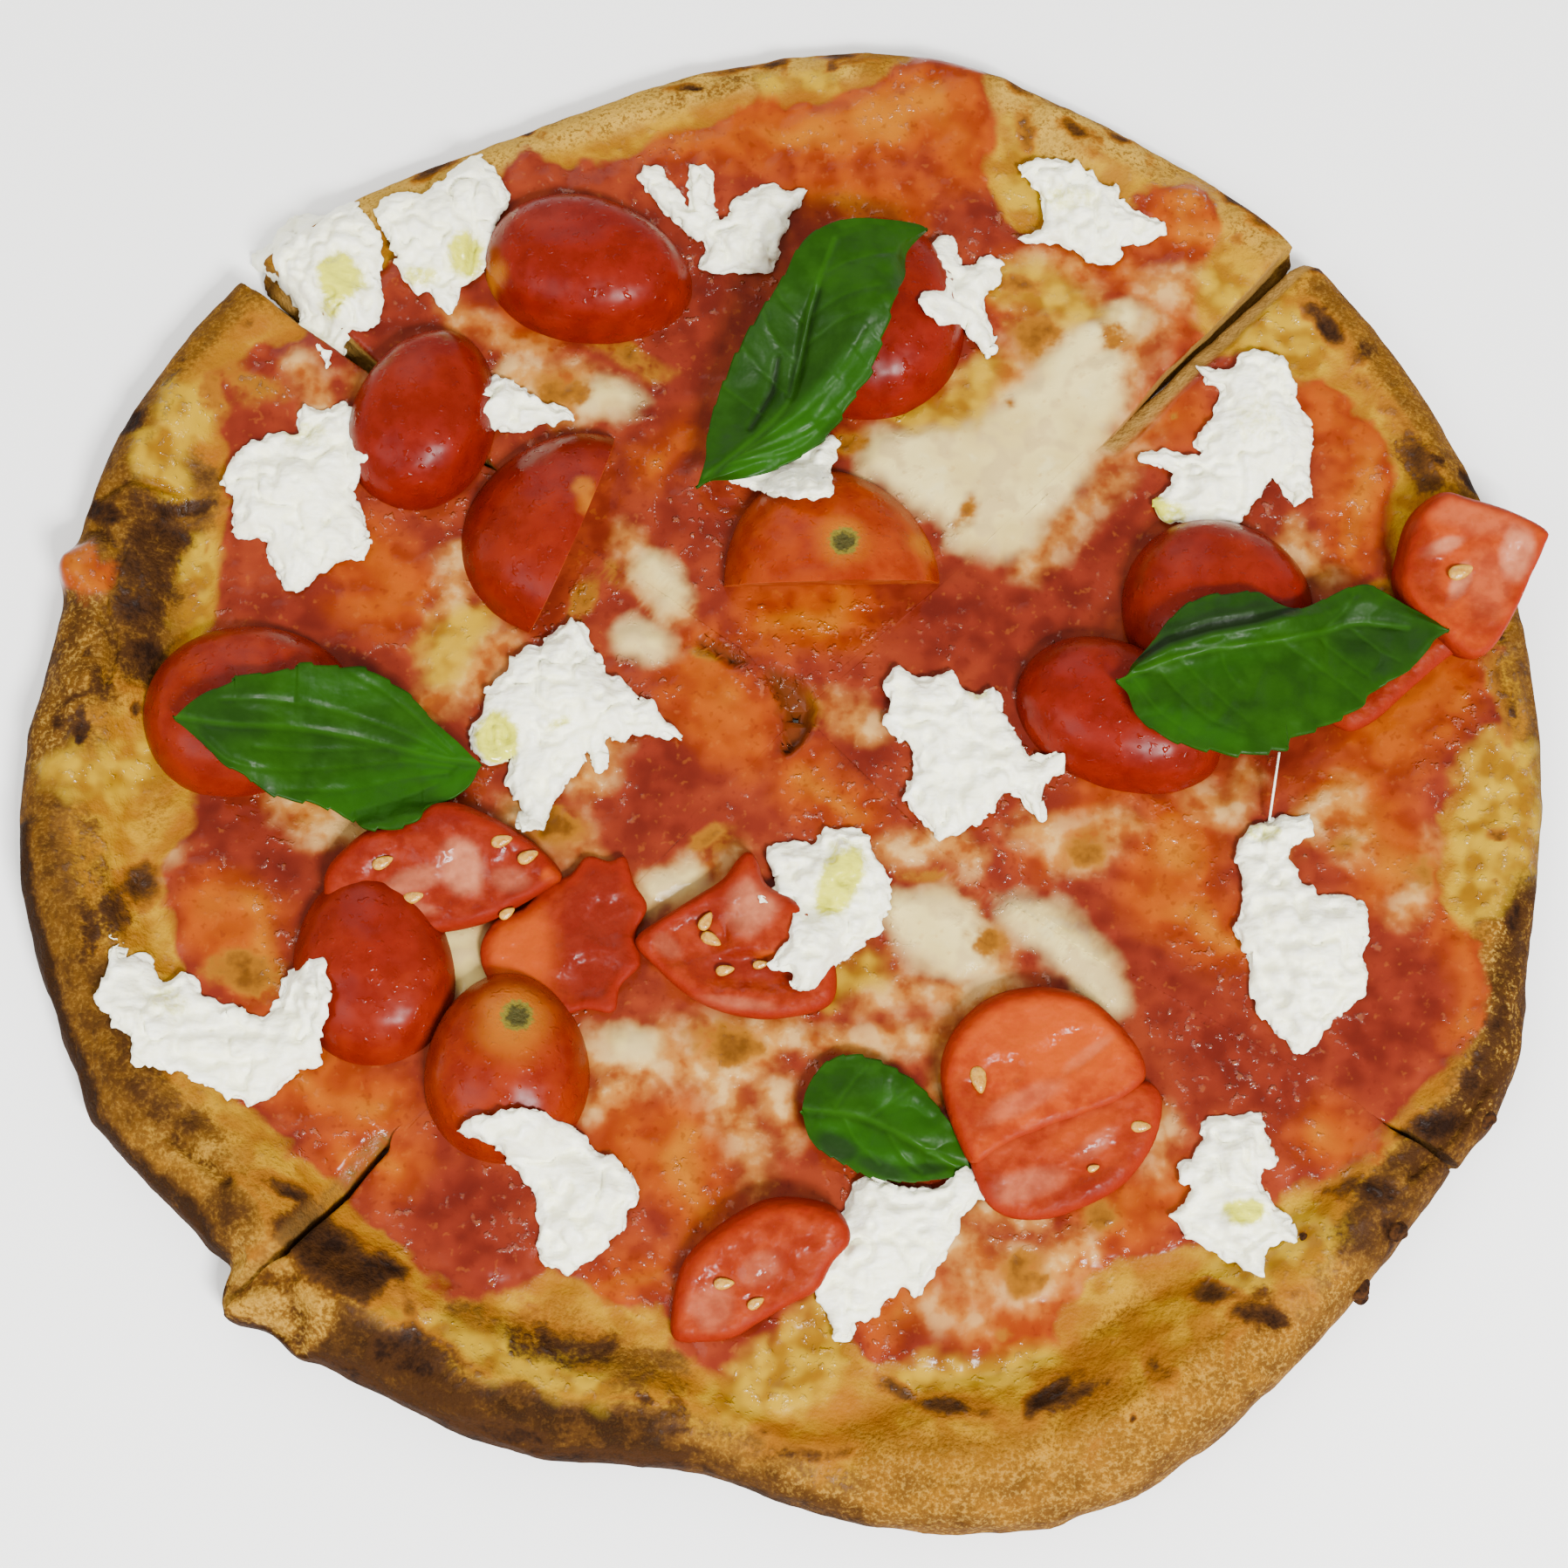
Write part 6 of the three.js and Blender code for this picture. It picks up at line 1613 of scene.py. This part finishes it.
def make_leaf(material, leaf):
    tree = solid_tree([bpy.data.objects[f"basil_{leaf['node']}"]])
    left, middle, right = (curve_through(leaf[key], LEAF_STATIONS) for key in ("left", "middle", "right"))
    saw = (np.arange(LEAF_STATIONS) * LEAF_TEETH / LEAF_STATIONS) % 1
    depth = 0.05 * np.sin(np.linspace(0, math.pi, LEAF_STATIONS)) * (saw - 0.5)
    for side in (left, right):
        side += depth[:, None] * (side - middle)
    across = np.linspace(-1, 1, 2 * LEAF_ACROSS + 1)
    grid = np.stack([middle + abs(v) * ((left if v < 0 else right) - middle) for v in across], axis=1)
    flat = grid.reshape(-1, 2).copy()
    there = flat - np.array([0, SLIDE * LEAF_LEVEL])
    hits = [below(tree, x, y) or tree.find_nearest(Vector((x, y, NEAR_HEIGHT)))[0] for x, y in there]
    ground = top_ground.at(there)
    height = np.maximum([hit.z for hit in hits], ground + 1.2).reshape(grid.shape[:2])
    for _ in range(LEAF_SMOOTHING):
        height = smoothed(height, 0.125)
    height = np.maximum(height.ravel(), ground + 1.0)

    level = np.concatenate([flat, np.zeros((len(flat), 1))], axis=1)
    veins = vein_depth(flat, leaf["veins"])
    quilt = rough_noise(level, 7, 500 + leaf["node"], 2)
    folds = ramp(inside_strokes(flat, leaf.get("folds", [])), -1.0, 0.8)
    height = height - 0.4 * veins - 0.8 * folds + leaf.get("pucker", 0.8) * np.abs(quilt)
    height += 0.5 * rough_noise(level, 18, 510 + leaf["node"], 1)
    if "ridge" in leaf:
        path = curve_through(leaf["ridge"], 30)
        away = path_distance(flat, path)
        beyond = np.tile(across, LEAF_STATIONS) * leaf["ridge_side"]
        height = height + 1.6 * np.exp(-((away / 3.5) ** 2)) - 1.2 * ramp(beyond, 0.55, 1.0)
    height = np.maximum(height, ground + 1.3) + leaf.get("lift", 0)
    places = np.concatenate([flat, height[:, None]], axis=1)
    slide_forwards(places, PLAN_LEVEL)

    row = len(across)
    faces = [
        (i * row + k, i * row + k + 1, (i + 1) * row + k + 1, (i + 1) * row + k)
        for i in range(LEAF_STATIONS - 1) for k in range(row - 1)
    ]
    name = f"basil_leaf_{leaf['node']}"
    piece = new_piece(name, mesh_of(name, places, faces))
    paint(piece, "vein", veins)
    # Painted shade: the folds are painted into the dark field at full strength.
    paint(piece, "dark", np.maximum(inside_ellipses(level, leaf["dark"], 521), 1.5 * folds))
    paint(piece, "bright", inside_ellipses(level, leaf["bright"], 522))
    edit_all(
        piece,
        (bpy.ops.mesh.remove_doubles, {"threshold": 0.02 * MM}),
        (bpy.ops.mesh.normals_make_consistent, {"inside": False}),
    )
    if normals_of(piece)[:, 2].mean() < 0:
        edit_all(piece, (bpy.ops.mesh.flip_normals, {}))
    apply_modifier(piece, "thicken", "SOLIDIFY", thickness=LEAF_THICKNESS * MM, offset=-1)
    finish_piece(piece, material, [f"basil_{leaf['node']}"])


# ---- Floor, light and camera -------------------------------------------------------------------

VIEW_ELEVATION = 74  # degrees above the table
VIEW_DISTANCE = 500
VIEW_AIM = (0, -7.9, 5)
VIEW_LENS = 65.6
FLOOR_WIDTH = 3  # m
FLOOR_DROP = 0.05  # mm below the pizza
FLOOR_COLOR = (0.92, 0.92, 0.91)
ROOM_COLOR = (1, 0.98, 0.95, 1)
ROOM_STRENGTH = 1.3
# Round lamps that face the pizza: name, bearing and elevation in degrees, distance and width in m, power.
LAMPS = [
    ("key_lamp", 150, 48, 1.2, 0.28, 31),
    ("spark_lamp", 162, 52, 1.0, 0.05, 4.5),
    ("left_lamp", -122, 45, 1.3, 0.7, 8),
    ("back_lamp", -20, 38, 1.3, 0.8, 4),
]


def make_floor():
    bpy.ops.mesh.primitive_plane_add(size=FLOOR_WIDTH, location=(0, 0, -FLOOR_DROP * MM))
    floor = bpy.context.active_object
    floor.name = "floor"
    s = Shader("pale_floor")
    floor.data.materials.append(s.finish(FLOOR_COLOR, 0.7))


def make_light(name, bearing, elevation, distance, width, power):
    lamp = bpy.data.lights.new(name, "AREA")
    lamp.shape = "DISK"
    lamp.size = width
    lamp.energy = power
    light = bpy.data.objects.new(name, lamp)
    bpy.context.collection.objects.link(light)
    b, e = math.radians(bearing), math.radians(elevation)
    way = Vector((math.sin(b) * math.cos(e), math.cos(b) * math.cos(e), math.sin(e)))
    light.location = way * distance
    light.rotation_euler = way.to_track_quat("Z", "Y").to_euler()


def make_studio():
    world = bpy.data.worlds.new("soft_room")
    world.use_nodes = True
    background = world.node_tree.nodes["Background"]
    background.inputs["Color"].default_value = ROOM_COLOR
    background.inputs["Strength"].default_value = ROOM_STRENGTH
    bpy.context.scene.world = world
    for lamp in LAMPS:
        make_light(*lamp)


def make_camera():
    camera = bpy.data.objects.new("camera", bpy.data.cameras.new("camera"))
    bpy.context.collection.objects.link(camera)
    e = math.radians(VIEW_ELEVATION)
    aim = Vector(VIEW_AIM)
    eye = aim + VIEW_DISTANCE * Vector((0, -math.cos(e), math.sin(e)))
    camera.location = eye * MM
    camera.rotation_euler = (math.radians(90 - VIEW_ELEVATION), 0, 0)
    camera.data.lens = VIEW_LENS
    camera.data.sensor_width = 36
    bpy.context.scene.camera = camera


dough_ground = Ground(("dough",), 1)
bed_ground = Ground(("dough", "sauce", "melted"), 2)
top_ground = Ground(("dough", "sauce", "melted", "tomato", "basil_4"), 3)
make_slices()
make_domes()
cut_material = flesh_material()
yellow_seed = seed_material()
for cut_piece in CUT_PIECES:
    make_cut_piece(cut_material, yellow_seed, cut_piece)
fresh_cheese = mozzarella_material()
make_mozzarella(fresh_cheese)
make_crumbs()
make_thread(fresh_cheese)
leaf_material = basil_material()
for leaf_row in LEAVES:
    make_leaf(leaf_material, leaf_row)
make_floor()
make_studio()
make_camera()
